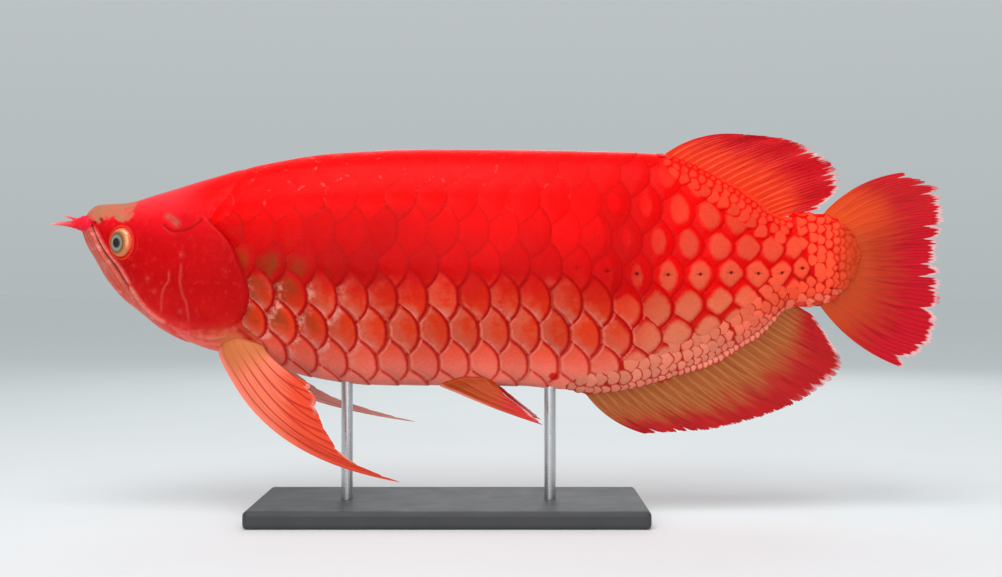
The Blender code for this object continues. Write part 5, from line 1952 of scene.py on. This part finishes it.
@dataclass(frozen=True)
class ScaleFinish:
    """Glossy scales: a coloured middle, a deep red rim, pores, growth lines and fine radial lines, with
    painted highlights, a painted reflection and painted shade in front of each scale's edge and in the pores.
    """

    olive: Colour = (0.26, 0.034, 0.005)
    # painted reflection: the pale patch on the lower front of the lower flank's scales
    pale: Colour = (0.64, 0.190, 0.140)
    # dark red of the scales' own rims, also used as painted shadow in front of each covering scale's edge
    dark: Colour = (0.32, 0.001, 0.001)
    orange: Colour = (0.66, 0.034, 0.006)
    grey_pink: Colour = (0.58, 0.100, 0.056)
    highlight: Colour = (0.72, 0.320, 0.260)
    # painted highlight near the rims of the upper flank's scales
    rim_highlight: Colour = (0.92, 0.090, 0.085)
    lit_edge: Colour = (0.92, 0.210, 0.145)
    stalk_end: Colour = (0.50, 0.050, 0.011)
    vent: Colour = (0.66, 0.004, 0.002)
    vent_place: tuple[float, float] = (0.0723, 0.918)
    vent_size: tuple[float, float] = (0.0036, 0.018)
    pore: Colour = (0.075, 0.004, 0.002)
    growth_lines: float = 7.0
    radial_lines: float = 74.0
    line_depth: float = 0.00006

    def build(self, paints: Paints) -> bpy.types.Material:
        """Builds the material.

        Args:
            paints: the shared node groups.

        Returns:
            The material.
        """
        material, sheet, shader = paints.blank("scale_gloss", 0.25, 0.05)
        rim, front, girth, along, tint, down, shade, egg, pore, pore_x, pore_z = sheet.read(
            "rim", "front", "girth", "along", "tint", "down", "shade", "oval", "pore", "pore_x", "pore_z")
        zones = sheet.use(paints.markings, Along=along, Girth=girth)
        cloud, blotch, fine = sheet.noise(210.0), sheet.noise(90.0, 2.0), sheet.noise(520.0, 3.0, 0.6)
        uneven, rear = (cloud - 0.5) * 1.6, along.step(0.082, 0.118)
        edge_line = (shade - 0.5) * 0.08 + (blotch - 0.5) * 0.16 + girth
        low_flank = edge_line.step(0.55, 0.72) * along.step(0.15, 0.1)

        warm = low_flank * girth.step(0.90, 0.72)
        mottle = shade * 0.3 + blotch * 0.5 + cloud * 0.7 + (front + down * -3.0).step(15.0, 3.0, -0.18, 0.16)
        near_gill = along.step(-0.06, -0.12) * edge_line.step(0.43, 0.54) * girth.step(0.82, 0.7)
        # painted reflection of light from below, as pale patches on the lower front of the lower flank's
        # scales
        low_front_reflection = down.step(-0.1, 0.4) * front.step(10.0, 1.0) * low_flank * cloud.step(0.2, 0.7)
        corner = front.step(8.0, 2.5) * down.step(0.3, -0.3) * cloud.step(0.42, 0.58)
        high = girth.step(0.36, 0.2) * along.step(0.12, 0.05) * along.step(0.0, -0.08, 0.5, 0.85)
        # painted highlights near the rims of the upper flank's scales, in patches
        rim_highlights = high * rim.step(3.2, 0.4) * cloud.step(0.56, 0.68)
        middle = sheet.cover(
            zones["Middle"],
            (warm * 0.75, self.orange),
            (warm * mottle.step(0.56, 0.92) * 0.68, self.grey_pink),
            (near_gill * rim.step(2.0, 8.0) * blotch.step(0.3, 0.7, 0.3, 0.95), self.olive),
            (low_front_reflection * girth.step(0.58, 0.74, 0.35, 1.0) * 0.9, self.pale),
            (corner * along.step(-0.04, -0.09) * girth.step(0.56, 0.62) * 0.75, self.highlight),
            (rim_highlights, self.rim_highlight))

        ahead = front + (1.0 - rear) * 9.0
        both = rim * ahead / sheet.math("MAXIMUM", rim + ahead, 0.2)
        inside = both * 1.5 + uneven - zones["Rim width"]
        oval = egg + uneven * -0.26 - (1.0 - rear) * 5.0
        border = sheet.mix(rim_highlights * 0.8, zones["Rim"], self.rim_highlight)
        colour = sheet.mix(inside.step(-1.0, 1.6) * oval.step(1.20, 0.74), border, middle)
        colour = sheet.scaled(colour, tint * 0.2 + fine * 0.34 + 0.73)

        seen = sheet.math("MAXIMUM", girth.step(0.46, 0.62), rear * 0.55) * along.step(0.12, 0.2, 0.6, 0.30)
        seen = seen * along.step(0.250, 0.275, 1.0, 0.4) * girth.step(0.80, 0.93, 1.0, 0.5)
        # the scales' own dark rims, and painted shadow in front of the edge of each covering scale
        edges = sheet.math("MAXIMUM", rim.step(0.1, 1.9, 1.0, 0.0), front.step(0.1, 1.9, 1.0, 0.0) * 0.8)
        lit = front.step(3.4, 2.2) * front.step(0.8, 1.6) * girth.step(0.58, 0.74) * cloud.step(0.3, 0.55)
        lit = lit * along.step(0.16, 0.12, 0.0, 0.45) * girth.step(0.80, 0.92, 1.0, 1.5)
        vent_x, vent_z = ((value - spot) / size for value, spot, size in zip(
            (along, girth), self.vent_place, self.vent_size))
        vent = vent_x * vent_x + vent_z * vent_z
        away = sheet.math("SQRT", pore_x * pore_x + pore_z * pore_z)
        streak = sheet.math("ABSOLUTE", pore_z).step(1.1, 0.1) * sheet.math("ABSOLUTE", pore_x).step(4.5, 1.0)
        # painted shade inside the lateral-line pores' dents
        hole = sheet.math("MAXIMUM", away.step(1.5, 0.7), streak * 0.4) * pore * 0.92
        colour = sheet.cover(
            colour,
            (edges * seen, self.dark),
            (lit, self.lit_edge),
            (along.step(0.262, 0.281, 0.0, 0.8), self.stalk_end),
            (vent.step(1.6, 0.5, 0.0, 0.9), self.vent),
            (hole, self.pore))
        rings = sheet.math("SINE", rim * self.growth_lines)
        spokes = sheet.math("SINE", down * self.radial_lines)
        lines = rings * 0.4 + spokes * 0.22 + cloud * 1.2 - hole * 9.0
        paints.wet(sheet, shader, colour, 0.25, 700.0, 0.6, lines, self.line_depth)
        return material


# The fins


class Webbing(Enum):
    """How a fin's outer edge ends between its rays."""

    FRAYED = 1.0
    SCALLOPED = 0.35


@dataclass(frozen=True)
class FinColours:
    """A fin's colours: film and rays near the root and further out, the worn edge, and where they change."""

    name: str
    root: Colour
    root_ray: Colour
    outer: Colour
    outer_ray: Colour
    edge: Colour = (0.70, 0.42, 0.42)
    turn: float = 0.5
    worn_from: float = 0.3
    turn_drop: float = 0.0
    heel: Colour = (0.50, 0.110, 0.030)
    heel_reach: float = 0.0
    lead: Colour = (0.80, 0.180, 0.120)
    lead_width: float = 0.0
    lead_share: float = 1.0
    ray_joints: float = 4.6
    relief: float = 0.00007

    def finish(self, paints: Paints) -> bpy.types.Material:
        """Builds the fin's material.

        Args:
            paints: the shared node groups.

        Returns:
            The material.
        """
        material, sheet, shader = paints.blank(self.name, 0.34, 0.12)
        across, ray_share, on_ray, margin, ray_run = sheet.read(
            "fin_share", "ray_share", "on_ray", "margin", "ray_run")
        worn = across.step(self.worn_from - 0.1, self.worn_from + 0.1)
        turn = across.step(0.35, 0.95, self.turn, self.turn - self.turn_drop)
        painted = sheet.use(
            paints.fin_paint, Along=ray_share, Across=across, Ray=on_ray, Margin=margin, Turn=turn, Worn=worn,
            Root=self.root, Root_ray=self.root_ray, Outer=self.outer, Outer_ray=self.outer_ray,
            Edge=self.edge)
        colour = painted["Colour"]
        if self.heel_reach > 0:
            near = ray_share / (across * self.heel_reach + self.heel_reach)
            colour = sheet.mix(near.step(1.0, 0.3, 0.0, 0.85), colour, self.heel)
        if self.lead_width > 0:
            leading = across.step(self.lead_width, 0.4 * self.lead_width)
            leading = leading * ray_share.step(0.62, 0.3, 0.12, 0.9)
            colour = sheet.mix(leading * self.lead_share, colour, self.lead)
        joints = sheet.math("SINE", ray_run * self.ray_joints) * on_ray * 0.6
        paints.wet(sheet, shader, colour, 0.34, 800.0, 0.5, joints + painted["Streak"] * 2.4, self.relief)
        return material


@dataclass
class Fin:
    """One fin as a thin curved web with its own rays, which fork on their way out to a worn edge."""

    name: str
    node: str
    slot: str
    base: Rows
    tip: Rows
    bend: Rows
    colours: FinColours
    rays: int
    sizes: tuple[float, float, float, float] = (3.0, 1.25, 0.42, 0.55)
    per_ray: int = 18
    steps: int = 72
    forks: tuple[float, float] = (0.32, 0.62)
    fork_runs: tuple[float, float] = (0.42, 0.36)
    bend_is_share: bool = True
    ripple: float = 1.0
    rays_per_ripple: float = 4.3
    most_short: float = 0.3
    notch: float = 2.6
    notch_range: Span = (0.35, 1.5)
    fray: float = 2.2
    frays: Span = (0.28, 0.5)
    webbing: Webbing = Webbing.FRAYED
    wander: float = 0.5
    ray_width: float = 1.0
    ray_share: float = 0.20
    fork_thins: Span = (0.09, 0.055)
    fork_parts: Span = (0.25, 0.125)
    seed: int = 3

    def shortfall(self, share: np.ndarray, beside: np.ndarray, gaps: np.ndarray,
                  loose: np.ndarray) -> np.ndarray:
        """How far the web's edge falls short of its outline, from notches between rays, teeth and frays.

        Args:
            share: the columns' shares across the fin.
            beside: their places beside their rays.
            gaps: a random number for each notch.
            loose: a random number for each column.

        Returns:
            Millimetres for each column.
        """
        gap = gaps[np.floor(share * (self.rays - 1)).astype(int)]
        least, more = self.notch_range
        teeth, tatters = self.frays
        notches = self.notch * (least + more * gap**2) * np.abs(2 * beside) ** 3
        cut = self.fray * teeth * (1 - np.cos(8 * math.pi * (beside - 0.125))) * self.webbing.value
        return notches + cut + self.fray * tatters * self.webbing.value * (loose - 0.5)

    def ridges(self, t: np.ndarray, beside: np.ndarray) -> np.ndarray:
        """How much of a ray lies at each point, with two forks on the way out.

        Args:
            t: how far out the points are.
            beside: how far they are from the ray's middle, in gaps.

        Returns:
            1 on a ray's middle, and 0 between the rays.
        """
        one, two = (ease(start, start + run, t) for start, run in zip(self.forks, self.fork_runs))
        width = (self.ray_share - self.fork_thins[0] * one - self.fork_thins[1] * two) * self.ray_width
        near, far = self.fork_parts
        centres = (first * near * one + second * far * two for first in (-1, 1) for second in (-1, 1))
        return np.max([hill(beside[:, None] - centre, width) for centre in centres], axis=0)

    def form(self) -> tuple[np.ndarray, Values]:
        """The web's middle surface and what lies where on it.

        Returns:
            Points by column and step, and values for the same grid.
        """
        share = np.linspace(0, 1, (self.rays - 1) * self.per_ray + 1)
        beside = share * (self.rays - 1) - np.round(share * (self.rays - 1))
        rng = np.random.default_rng(self.seed)
        gaps = rng.random(self.rays + 1)
        phases = rng.random(self.rays + 1) * 2 * math.pi
        start, end = smooth_path(self.base)(share), smooth_path(self.tip)(share)
        if self.bend_is_share:
            run = end - start
            sideways = np.stack([-run[:, 2], np.zeros(len(run)), run[:, 0]], axis=-1)
            middle = (start + end) / 2 + smooth_line(self.bend)(share)[:, None] * sideways
        else:
            middle = smooth_path(self.bend)(share)
        length = np.linalg.norm(end - start, axis=1)
        held = ease(0, 0.035, share) * ease(1, 0.975, share)
        short = self.shortfall(share, beside, gaps, rng.random(len(share))) * held
        short = np.clip(short, 0, self.most_short * length) / length
        t = (1 - (1 - np.linspace(0, 1, self.steps)) ** 1.15)[None, :] * (1 - short)[:, None]
        a, b, c = (weight[..., None] for weight in ((1 - t) ** 2, 2 * t * (1 - t), t * t))
        points = a * start[:, None] + b * middle[:, None] + c * end[:, None]
        along, across = unit(np.gradient(points, axis=1)), np.gradient(points, axis=0)
        across = unit(across - along * (across * along).sum(axis=2, keepdims=True))
        phase = np.interp(share * (self.rays - 1), np.arange(self.rays + 1), phases)
        wave = np.sin(2 * math.pi * 1.3 * t + phase[:, None]) * self.wander * t * (1 - 0.6 * t)
        points = points + across * (wave * held[:, None])[..., None]
        normal = np.cross(across, along)
        waves = 2 * math.pi * share * (self.rays - 1) / self.rays_per_ripple + self.seed
        points = points + normal * (self.ripple * t**1.6 * np.sin(waves)[:, None])[..., None]
        values = {
            "ray_share": t, "fin_share": share[:, None] * np.ones_like(t), "on_ray": self.ridges(t, beside),
            "margin": (1 - short[:, None] - t) * length[:, None], "ray_run": t * length[:, None],
            "normal": normal,
        }
        return points, values

    def build(self) -> bpy.types.Object:
        """Builds the fin as a closed two-sided web.

        Returns:
            The object.
        """
        middle, values = self.form()
        normal, t, ridge = values.pop("normal"), values["ray_share"], values["on_ray"]
        root, ray, film, tip = self.sizes
        size = film * (1 - 0.35 * t) + (ray + (tip - ray) * t - film * (1 - 0.35 * t)) * ridge
        size = (size + (root - size) * ease(0.2, 0.0, t)) * (0.1 + 0.9 * ease(-0.01, 0.05, t))
        upper, lower = middle + normal * size[..., None] / 2, middle - normal * size[..., None] / 2
        points = np.concatenate([upper.reshape(-1, 3), lower.reshape(-1, 3)])
        faces = closed_sheet(*t.shape)
        doubled = {word: np.tile(value.ravel(), 2) for word, value in values.items()}
        return mesh_piece(self.name, points, [faces], doubled, sharp=80.0)

    def make(self, paints: Paints) -> None:
        """Builds the fin, dresses it and puts it in place of the plain one."""
        settle(self.build(), self.colours.finish(paints), self.slot, self.node)


def in_plane(rows: Rows) -> Rows:
    """Rows of (share, x, z) as rows with a y of 0."""
    return tuple((share, x, 0.0, z) for share, x, z in rows)


def sided(rows: Rows, side: Side) -> Rows:
    """Rows of (share, x, distance out, z) as rows on one side of the fish."""
    return tuple((share, x, side.value * out, z) for share, x, out, z in rows)


@dataclass
class FinSet:
    """All seven fins."""

    dorsal_base: Rows = (
        (0, 147.0, 250.6), (0.25, 169.4, 242.0), (0.5, 192.5, 231.0), (0.75, 213.5, 218.0), (1, 226.0, 206.5))
    dorsal_tip: Rows = (
        (0, 204.0, 267.0), (0.25, 232.0, 264.4), (0.5, 255.5, 255.6), (0.72, 272.0, 240.0),
        (0.85, 273.5, 230.0),
        (1, 258.0, 214.5))
    dorsal_bend: Rows = ((0, 0.20), (0.25, 0.10), (0.6, 0.06), (1, 0.03))
    anal_base: Rows = (
        (0, 90.0, 92.5), (0.2, 127.4, 95.0), (0.4, 165.2, 107.0), (0.6, 196.7, 121.5), (0.8, 221.2, 137.0),
        (1, 238.0, 150.0))
    anal_tip: Rows = (
        (0, 136.0, 57.2), (0.2, 177.0, 59.6), (0.4, 220.0, 69.6), (0.6, 256.0, 86.6), (0.78, 274.6, 106.0),
        (0.9, 267.6, 121.5), (1, 254.0, 140.5))
    anal_bend: Rows = ((0, -0.20), (0.25, -0.07), (1, -0.03))
    caudal_base: Rows = (
        (0, 258.0, 207.5), (0.2, 272.0, 201.5), (0.4, 278.0, 189.0), (0.6, 278.0, 175.0), (0.8, 271.0, 161.0),
        (1, 256.0, 151.5))
    caudal_tip: Rows = (
        (0, 316.4, 240.1), (0.15, 343.0, 227.5), (0.35, 345.8, 205.1), (0.5, 341.5, 184.5),
        (0.7, 343.7, 157.5),
        (0.85, 338.8, 125.3), (1, 316.4, 103.6))
    caudal_bend: Rows = ((0, 0.20), (0.5, 0.015), (1, -0.17))
    pectoral_root: Rows = (
        (0, -160.0, 9.0, 118.0), (0.3, -153.5, 15.2, 122.6), (0.62, -144.5, 18.4, 124.8),
        (0.85, -136.0, 18.8, 123.0),
        (1, -130.0, 17.8, 119.5))
    pectoral_bends: dict[Side, Rows] = field(default_factory=lambda: {
        Side.LEFT: ((0, -132.4, 34.0, 45.5), (1, -112.7, 26.0, 103.1)),
        Side.RIGHT: ((0, -131.5, 33.0, 76.0), (1, -119.0, 24.0, 103.0)),
    })
    pectoral_tips: dict[Side, Rows] = field(default_factory=lambda: {
        Side.LEFT: ((0, -30.4, 62.0, 32.0), (0.17, -48.0, 58.0, 38.4), (0.35, -66.0, 54.0, 47.5),
                    (0.52, -78.5, 50.0, 60.5), (0.7, -86.4, 46.0, 75.5), (0.85, -88.7, 42.0, 86.6),
                    (1, -92.7, 38.0, 94.4)),
        Side.RIGHT: ((0, -28.2, 60.0, 60.1), (0.17, -50.0, 57.0, 65.5), (0.35, -69.0, 53.5, 71.5),
                     (0.52, -84.0, 49.5, 77.5), (0.7, -95.0, 45.0, 83.5), (0.85, -102.0, 40.5, 88.5),
                     (1, -107.0, 35.5, 93.0)),
    })
    pelvic_root: Rows = (
        (0, -8.4, 3.8, 92.4), (0.25, 1.0, 8.8, 95.6), (0.5, 10.0, 11.2, 97.9), (0.75, 21.0, 10.8, 97.6),
        (1, 30.5, 5.0, 92.6))
    pelvic_bend: Rows = ((0, 27.0, 15.0, 76.5), (1, 35.0, 13.5, 90.5))
    pelvic_tip: Rows = ((0, 64.5, 19.0, 65.2), (0.35, 57.5, 18.5, 71.5), (0.7, 48.5, 17.5, 78.5),
                        (1, 38.0, 16.0, 86.0))

    def make(self, paints: Paints) -> None:
        """Builds and dresses every fin.

        Args:
            paints: the paint box.
        """
        dorsal = FinColours("dorsal_web", (0.74, 0.026, 0.004), (0.88, 0.082, 0.016), (0.62, 0.001, 0.007),
                            (0.38, 0.0008, 0.004), turn=0.44, worn_from=0.45)
        anal = FinColours("anal_web", (0.345, 0.086, 0.019), (0.47, 0.150, 0.046), (0.46, 0.010, 0.012),
                          (0.34, 0.003, 0.005), turn=0.64, worn_from=0.6, turn_drop=0.26)
        caudal = FinColours("caudal_web", (0.47, 0.031, 0.007), (0.41, 0.029, 0.009), (0.55, 0.004, 0.016),
                            (0.36, 0.001, 0.007), turn=0.50, worn_from=0.12, heel=(0.50, 0.056, 0.012),
                            heel_reach=0.26, lead=(0.84, 0.075, 0.010), lead_width=0.46, lead_share=0.6)
        Fin("dorsal_web", "dorsal_fin", "median_fin", in_plane(self.dorsal_base), in_plane(self.dorsal_tip),
            self.dorsal_bend, dorsal, rays=20, forks=(0.2, 0.5), notch=4.6, fray=3.0, ray_width=0.8,
            seed=5).make(paints)
        Fin("anal_web", "anal_fin", "median_fin", in_plane(self.anal_base), in_plane(self.anal_tip),
            self.anal_bend, anal, rays=29, per_ray=16, forks=(0.14, 0.46), notch=3.4, fray=2.4, ray_width=0.6,
            seed=8).make(paints)
        Fin("caudal_web", "caudal_fin", "median_fin", in_plane(self.caudal_base), in_plane(self.caudal_tip),
            self.caudal_bend, caudal, rays=16, per_ray=20, forks=(0.12, 0.4), notch=6.0, fray=3.4, wander=0.9,
            ray_width=0.75, seed=13).make(paints)
        pectoral = FinColours("pectoral_web", (0.84, 0.180, 0.100), (0.34, 0.010, 0.005),
                              (0.74, 0.066, 0.026),
                              (0.48, 0.012, 0.008), (0.80, 0.34, 0.28), turn=0.55, heel=(0.54, 0.150, 0.042),
                              heel_reach=0.20, lead=(0.88, 0.200, 0.140), lead_width=0.14)
        # painted light: paler copies of the pectoral's colours for the far fin, which lies in the body's
        # shade
        far_pectoral_painted_light = FinColours("far_pectoral_web_painted_light", (0.84, 0.330, 0.240), (0.54, 0.120, 0.080),
                                  (0.84, 0.420, 0.360), (0.66, 0.240, 0.200), (0.84, 0.50, 0.46), turn=0.4,
                                  heel=(0.66, 0.260, 0.140), heel_reach=0.20, lead=(0.86, 0.46, 0.40),
                                  lead_width=0.16)
        pelvic = FinColours("pelvic_web", (0.46, 0.052, 0.009), (0.40, 0.082, 0.016), (0.66, 0.036, 0.028),
                            (0.48, 0.010, 0.008), (0.74, 0.34, 0.36), turn=0.58, worn_from=0.1,
                            lead=(0.68, 0.22, 0.15), lead_width=0.10)
        paired = {"bend_is_share": False, "fray": 0.8, "webbing": Webbing.SCALLOPED, "wander": 0.3}
        for side in Side:
            colours = pectoral if side is Side.LEFT else far_pectoral_painted_light
            Fin(f"pectoral_web_{side.word}", f"pectoral_fin_{side.word}", "paired_fin",
                sided(self.pectoral_root, side), sided(self.pectoral_tips[side], side),
                sided(self.pectoral_bends[side], side), colours, rays=7, sizes=(4.5, 1.5, 0.5, 0.6),
                per_ray=36, steps=96, forks=(0.55, 0.8), ripple=0.5, notch=3.0, ray_width=0.42, seed=21,
                **paired).make(paints)
            Fin(f"pelvic_web_{side.word}", f"pelvic_fin_{side.word}", "paired_fin",
                sided(self.pelvic_root, side), sided(self.pelvic_tip, side), sided(self.pelvic_bend, side),
                pelvic, rays=6, sizes=(3.6, 1.3, 0.5, 0.55), per_ray=24, steps=60, forks=(0.45, 0.75),
                ripple=0.4, notch=1.2, ray_width=0.7, seed=23, **paired).make(paints)


# Feelers, stand and studio


@dataclass
class Feelers:
    """The two barbels that grow forwards from the chin."""

    routes: dict[Side, Rows] = field(default_factory=lambda: {
        Side.LEFT: ((0.0, -248.5, -2.6, 203.2), (0.25, -256.0, -3.2, 203.9), (0.5, -262.5, -4.6, 203.7),
                    (0.75, -269.5, -7.4, 203.9), (1.0, -276.8, -11.0, 203.2)),
        Side.RIGHT: ((0.0, -249.5, 2.6, 203.6), (0.25, -256.4, 4.2, 205.2), (0.5, -262.0, 6.4, 206.8),
                     (0.75, -268.0, 8.8, 208.8), (1.0, -275.2, 12.0, 211.2)),
    })
    radii: dict[Side, Rows] = field(default_factory=lambda: {
        Side.LEFT: ((0.0, 7.4), (0.15, 6.6), (0.3, 5.0), (0.45, 3.2), (0.6, 2.0), (0.8, 1.2), (0.96, 0.6),
                    (1.0, 0.1)),
        Side.RIGHT: ((0.0, 4.2), (0.22, 3.2), (0.42, 1.7), (0.6, 1.15), (0.8, 0.8), (0.96, 0.45),
                     (1.0, 0.08)),
    })
    by_share: Stops = (
        (0.0, (0.74, 0.002, 0.030)), (0.42, (0.82, 0.004, 0.020)), (0.6, (0.80, 0.040, 0.050)),
        (0.8, (0.74, 0.170, 0.160)), (1.0, (0.74, 0.400, 0.380)),
    )
    pink: Colour = (0.85, 0.06, 0.08)
    steps: int = 60
    around: int = 28

    def build(self, side: Side) -> bpy.types.Object:
        """Builds one feeler as a tapered tube.

        Args:
            side: which of the two.

        Returns:
            The object.
        """
        share = np.linspace(0, 1, self.steps)
        centre = smooth_path(self.routes[side])(share)
        along = unit(np.gradient(centre, axis=0))
        out = unit(np.cross(along, np.array([0.0, 0.0, 1.0])))
        up = np.cross(out, along)
        turn = circle(self.around)
        radius = smooth_line(self.radii[side])(share) * (1 + 0.03 * np.sin(share * 55))
        spokes = np.cos(turn)[None, :, None] * out[:, None] + np.sin(turn)[None, :, None] * up[:, None]
        points = (centre[:, None] + spokes * radius[:, None, None]).reshape(-1, 3)
        first = np.arange(self.around)
        faces = [sheet_faces(self.steps, self.around, True), first[None, ::-1],
                 (first + (self.steps - 1) * self.around)[None, :]]
        values = {"feeler_share": np.repeat(share, self.around)}
        return mesh_piece(f"feeler_{side.word}", points, faces, values)

    def finish(self, paints: Paints) -> bpy.types.Material:
        """Soft bright skin that pales to the tip.

        Args:
            paints: the shared node groups.

        Returns:
            The material.
        """
        material, sheet, shader = paints.blank("feeler_skin", 0.32, 0.12)
        share, = sheet.read("feeler_share")
        colour = sheet.mix(sheet.noise(300.0) * 0.2, sheet.ramp(share, self.by_share), self.pink)
        paints.wet(sheet, shader, colour, 0.34, 1200.0, 0.6)
        return material

    def make(self, paints: Paints) -> None:
        """Builds and dresses both feelers."""
        finish = self.finish(paints)
        for side in Side:
            settle(self.build(side), finish, "barbel", f"barbel_{side.word}")


@dataclass
class Stand:
    """The display stand's own finishes, on the model's base and rods as they are."""

    base: str = "stand_base"
    rods: tuple[str, ...] = ("stand_rod_front", "stand_rod_rear")

    @staticmethod
    def painted(paints: Paints) -> bpy.types.Material:
        """Charcoal paint with a fine orange-peel grain, worn a little lighter here and there.

        Args:
            paints: the paint box.

        Returns:
            The base's finish.
        """
        material, sheet, shader = paints.blank("stand_paint", 0.45, 0.4)
        colour = sheet.mix(sheet.noise(22.0, 4.0), (0.026, 0.027, 0.030), (0.046, 0.047, 0.051))
        paints.wet(sheet, shader, colour, 0.45, 1500.0, 1.0)
        return material

    @staticmethod
    def brushed(paints: Paints) -> bpy.types.Material:
        """Steel with fine turning marks round each rod.

        Args:
            paints: the paint box.

        Returns:
            The rods' finish.
        """
        material, sheet, shader = paints.blank("stand_steel", 0.3, 0.5, metallic=1.0)
        marks = sheet.noise(2600.0, 2.0, 0.6, sheet.joined(0.0, 0.0, sheet.height_of(sheet.point())))
        colour = sheet.mix(marks, (0.42, 0.42, 0.43), (0.66, 0.66, 0.67))
        sheet.feed(shader.inputs["Base Color"], colour)
        sheet.feed(shader.inputs["Roughness"], marks.step(0.3, 0.7, 0.24, 0.4))
        sheet.feed(shader.inputs["Normal"], sheet.bump(marks, 0.00003))
        return material

    def make(self, paints: Paints) -> None:
        """Dresses the stand.

        Args:
            paints: the paint box.
        """
        dressed = {self.base: self.painted(paints), **dict.fromkeys(self.rods, self.brushed(paints))}
        for name, finish in dressed.items():
            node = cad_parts[name]
            node.data.materials.clear()
            node.data.materials.append(finish)
            REPORT.info("%s: own finish", name)


@dataclass(frozen=True)
class Lamp:
    """One soft lamp: where it hangs, how wide it is, its watts and its spread in degrees."""

    name: str
    place: tuple[float, float, float]
    size: float
    power: float
    spread: float = 180.0

    def hang(self, aim: Vector) -> None:
        """Hangs the lamp.

        Args:
            aim: the place that it is turned to.
        """
        lamp = bpy.data.lights.new(self.name, "AREA")
        lamp.spread = math.radians(self.spread)
        lamp.size = self.size
        lamp.energy = self.power
        made = bpy.data.objects.new(self.name, lamp)
        made.location = self.place
        made.rotation_euler = (aim - Vector(self.place)).to_track_quat("-Z", "Y").to_euler()
        bpy.context.scene.collection.objects.link(made)


@dataclass
class Studio:
    """A pale floor, soft light and the camera at the photograph's viewing angle."""

    camera_place: tuple[float, float, float] = (0.0357, -0.95, 0.1589)
    view_width: float = 0.7014
    sensor: float = 36.0
    floor_size: float = 60.0
    horizon: Colour = (0.447, 0.485, 0.497)
    sky: Colour = (0.56, 0.60, 0.61)
    paper: tuple[Colour, Colour] = ((0.76, 0.78, 0.79), (0.79, 0.81, 0.82))
    aim: tuple[float, float, float] = (0.02, 0.0, 0.17)
    lamps: tuple[Lamp, ...] = (
        Lamp("key", (-0.1, -0.75, 1.30), 0.9, 12.0), Lamp("fill", (-0.15, -2.1, 0.62), 1.1, 5.6, 120.0),
        Lamp("rim", (0.3, 1.3, 1.0), 1.2, 4.8),
    )

    def floor(self) -> None:
        """Lays a wide pale floor under the stand."""
        half = self.floor_size / 2
        mesh = bpy.data.meshes.new("floor")
        mesh.from_pydata([(-half, -half, 0), (half, -half, 0), (half, half, 0), (-half, half, 0)], [],
                         [(0, 1, 2, 3)])
        floor = bpy.data.objects.new("floor", mesh)
        bpy.context.scene.collection.objects.link(floor)
        material, sheet, shader = Paints.blank("floor_paper", 0.75, 0.2)
        sheet.feed(shader.inputs["Base Color"], sheet.mix(sheet.noise(9.0), *self.paper))
        mesh.materials.append(material)

    def light(self) -> None:
        """Sets a pale world that meets the floor in one tone, a key light above, a fill and a rim light."""
        world = bpy.data.worlds.new("pale_room")
        world.use_nodes = True
        sheet = Sheet(world.node_tree)
        up = sheet.height_of(sheet.point("Generated"))
        tone = sheet.ramp(sheet.math("MULTIPLY", up, 2.5, True), ((0.0, self.horizon), (1.0, self.sky)))
        sheet.feed(world.node_tree.nodes["Background"].inputs["Color"], tone)
        bpy.context.scene.world = world
        for lamp in self.lamps:
            lamp.hang(Vector(self.aim))

    def camera(self) -> None:
        """Places the camera level with the fish, so that the frame is the photograph's."""
        lens = bpy.data.cameras.new("camera")
        lens.sensor_width = self.sensor
        lens.lens = self.sensor * abs(self.camera_place[1]) / self.view_width
        camera = bpy.data.objects.new("camera", lens)
        camera.location = self.camera_place
        camera.rotation_euler = (math.pi / 2, 0, 0)
        bpy.context.scene.collection.objects.link(camera)
        bpy.context.scene.camera = camera

    def make(self) -> None:
        """Sets up floor, light, camera and plain colour handling."""
        self.floor()
        self.light()
        self.camera()
        bpy.context.scene.view_settings.view_transform = "Standard"


def main() -> None:
    """Builds the whole model."""
    logging.basicConfig(level=logging.INFO, format="%(name)s %(message)s")
    paints = Paints()
    body, head = Body(), HeadForm()
    Skin(body, head).make(paints)
    gloss = EyeFinish().build(paints)
    for side in Side:
        settle(Eye(body, head, side).build(), gloss, "eye", f"eye_{side.word}")
    fields, coat = SmallFields(), ScaleFinish().build(paints)
    ScaleCoat(body, head, fields).make(coat)
    SmallScales(body, fields).make(coat)
    FinSet().make(paints)
    Feelers().make(paints)
    Stand().make(paints)
    Studio().make()


if __name__ == "__main__":
    main()
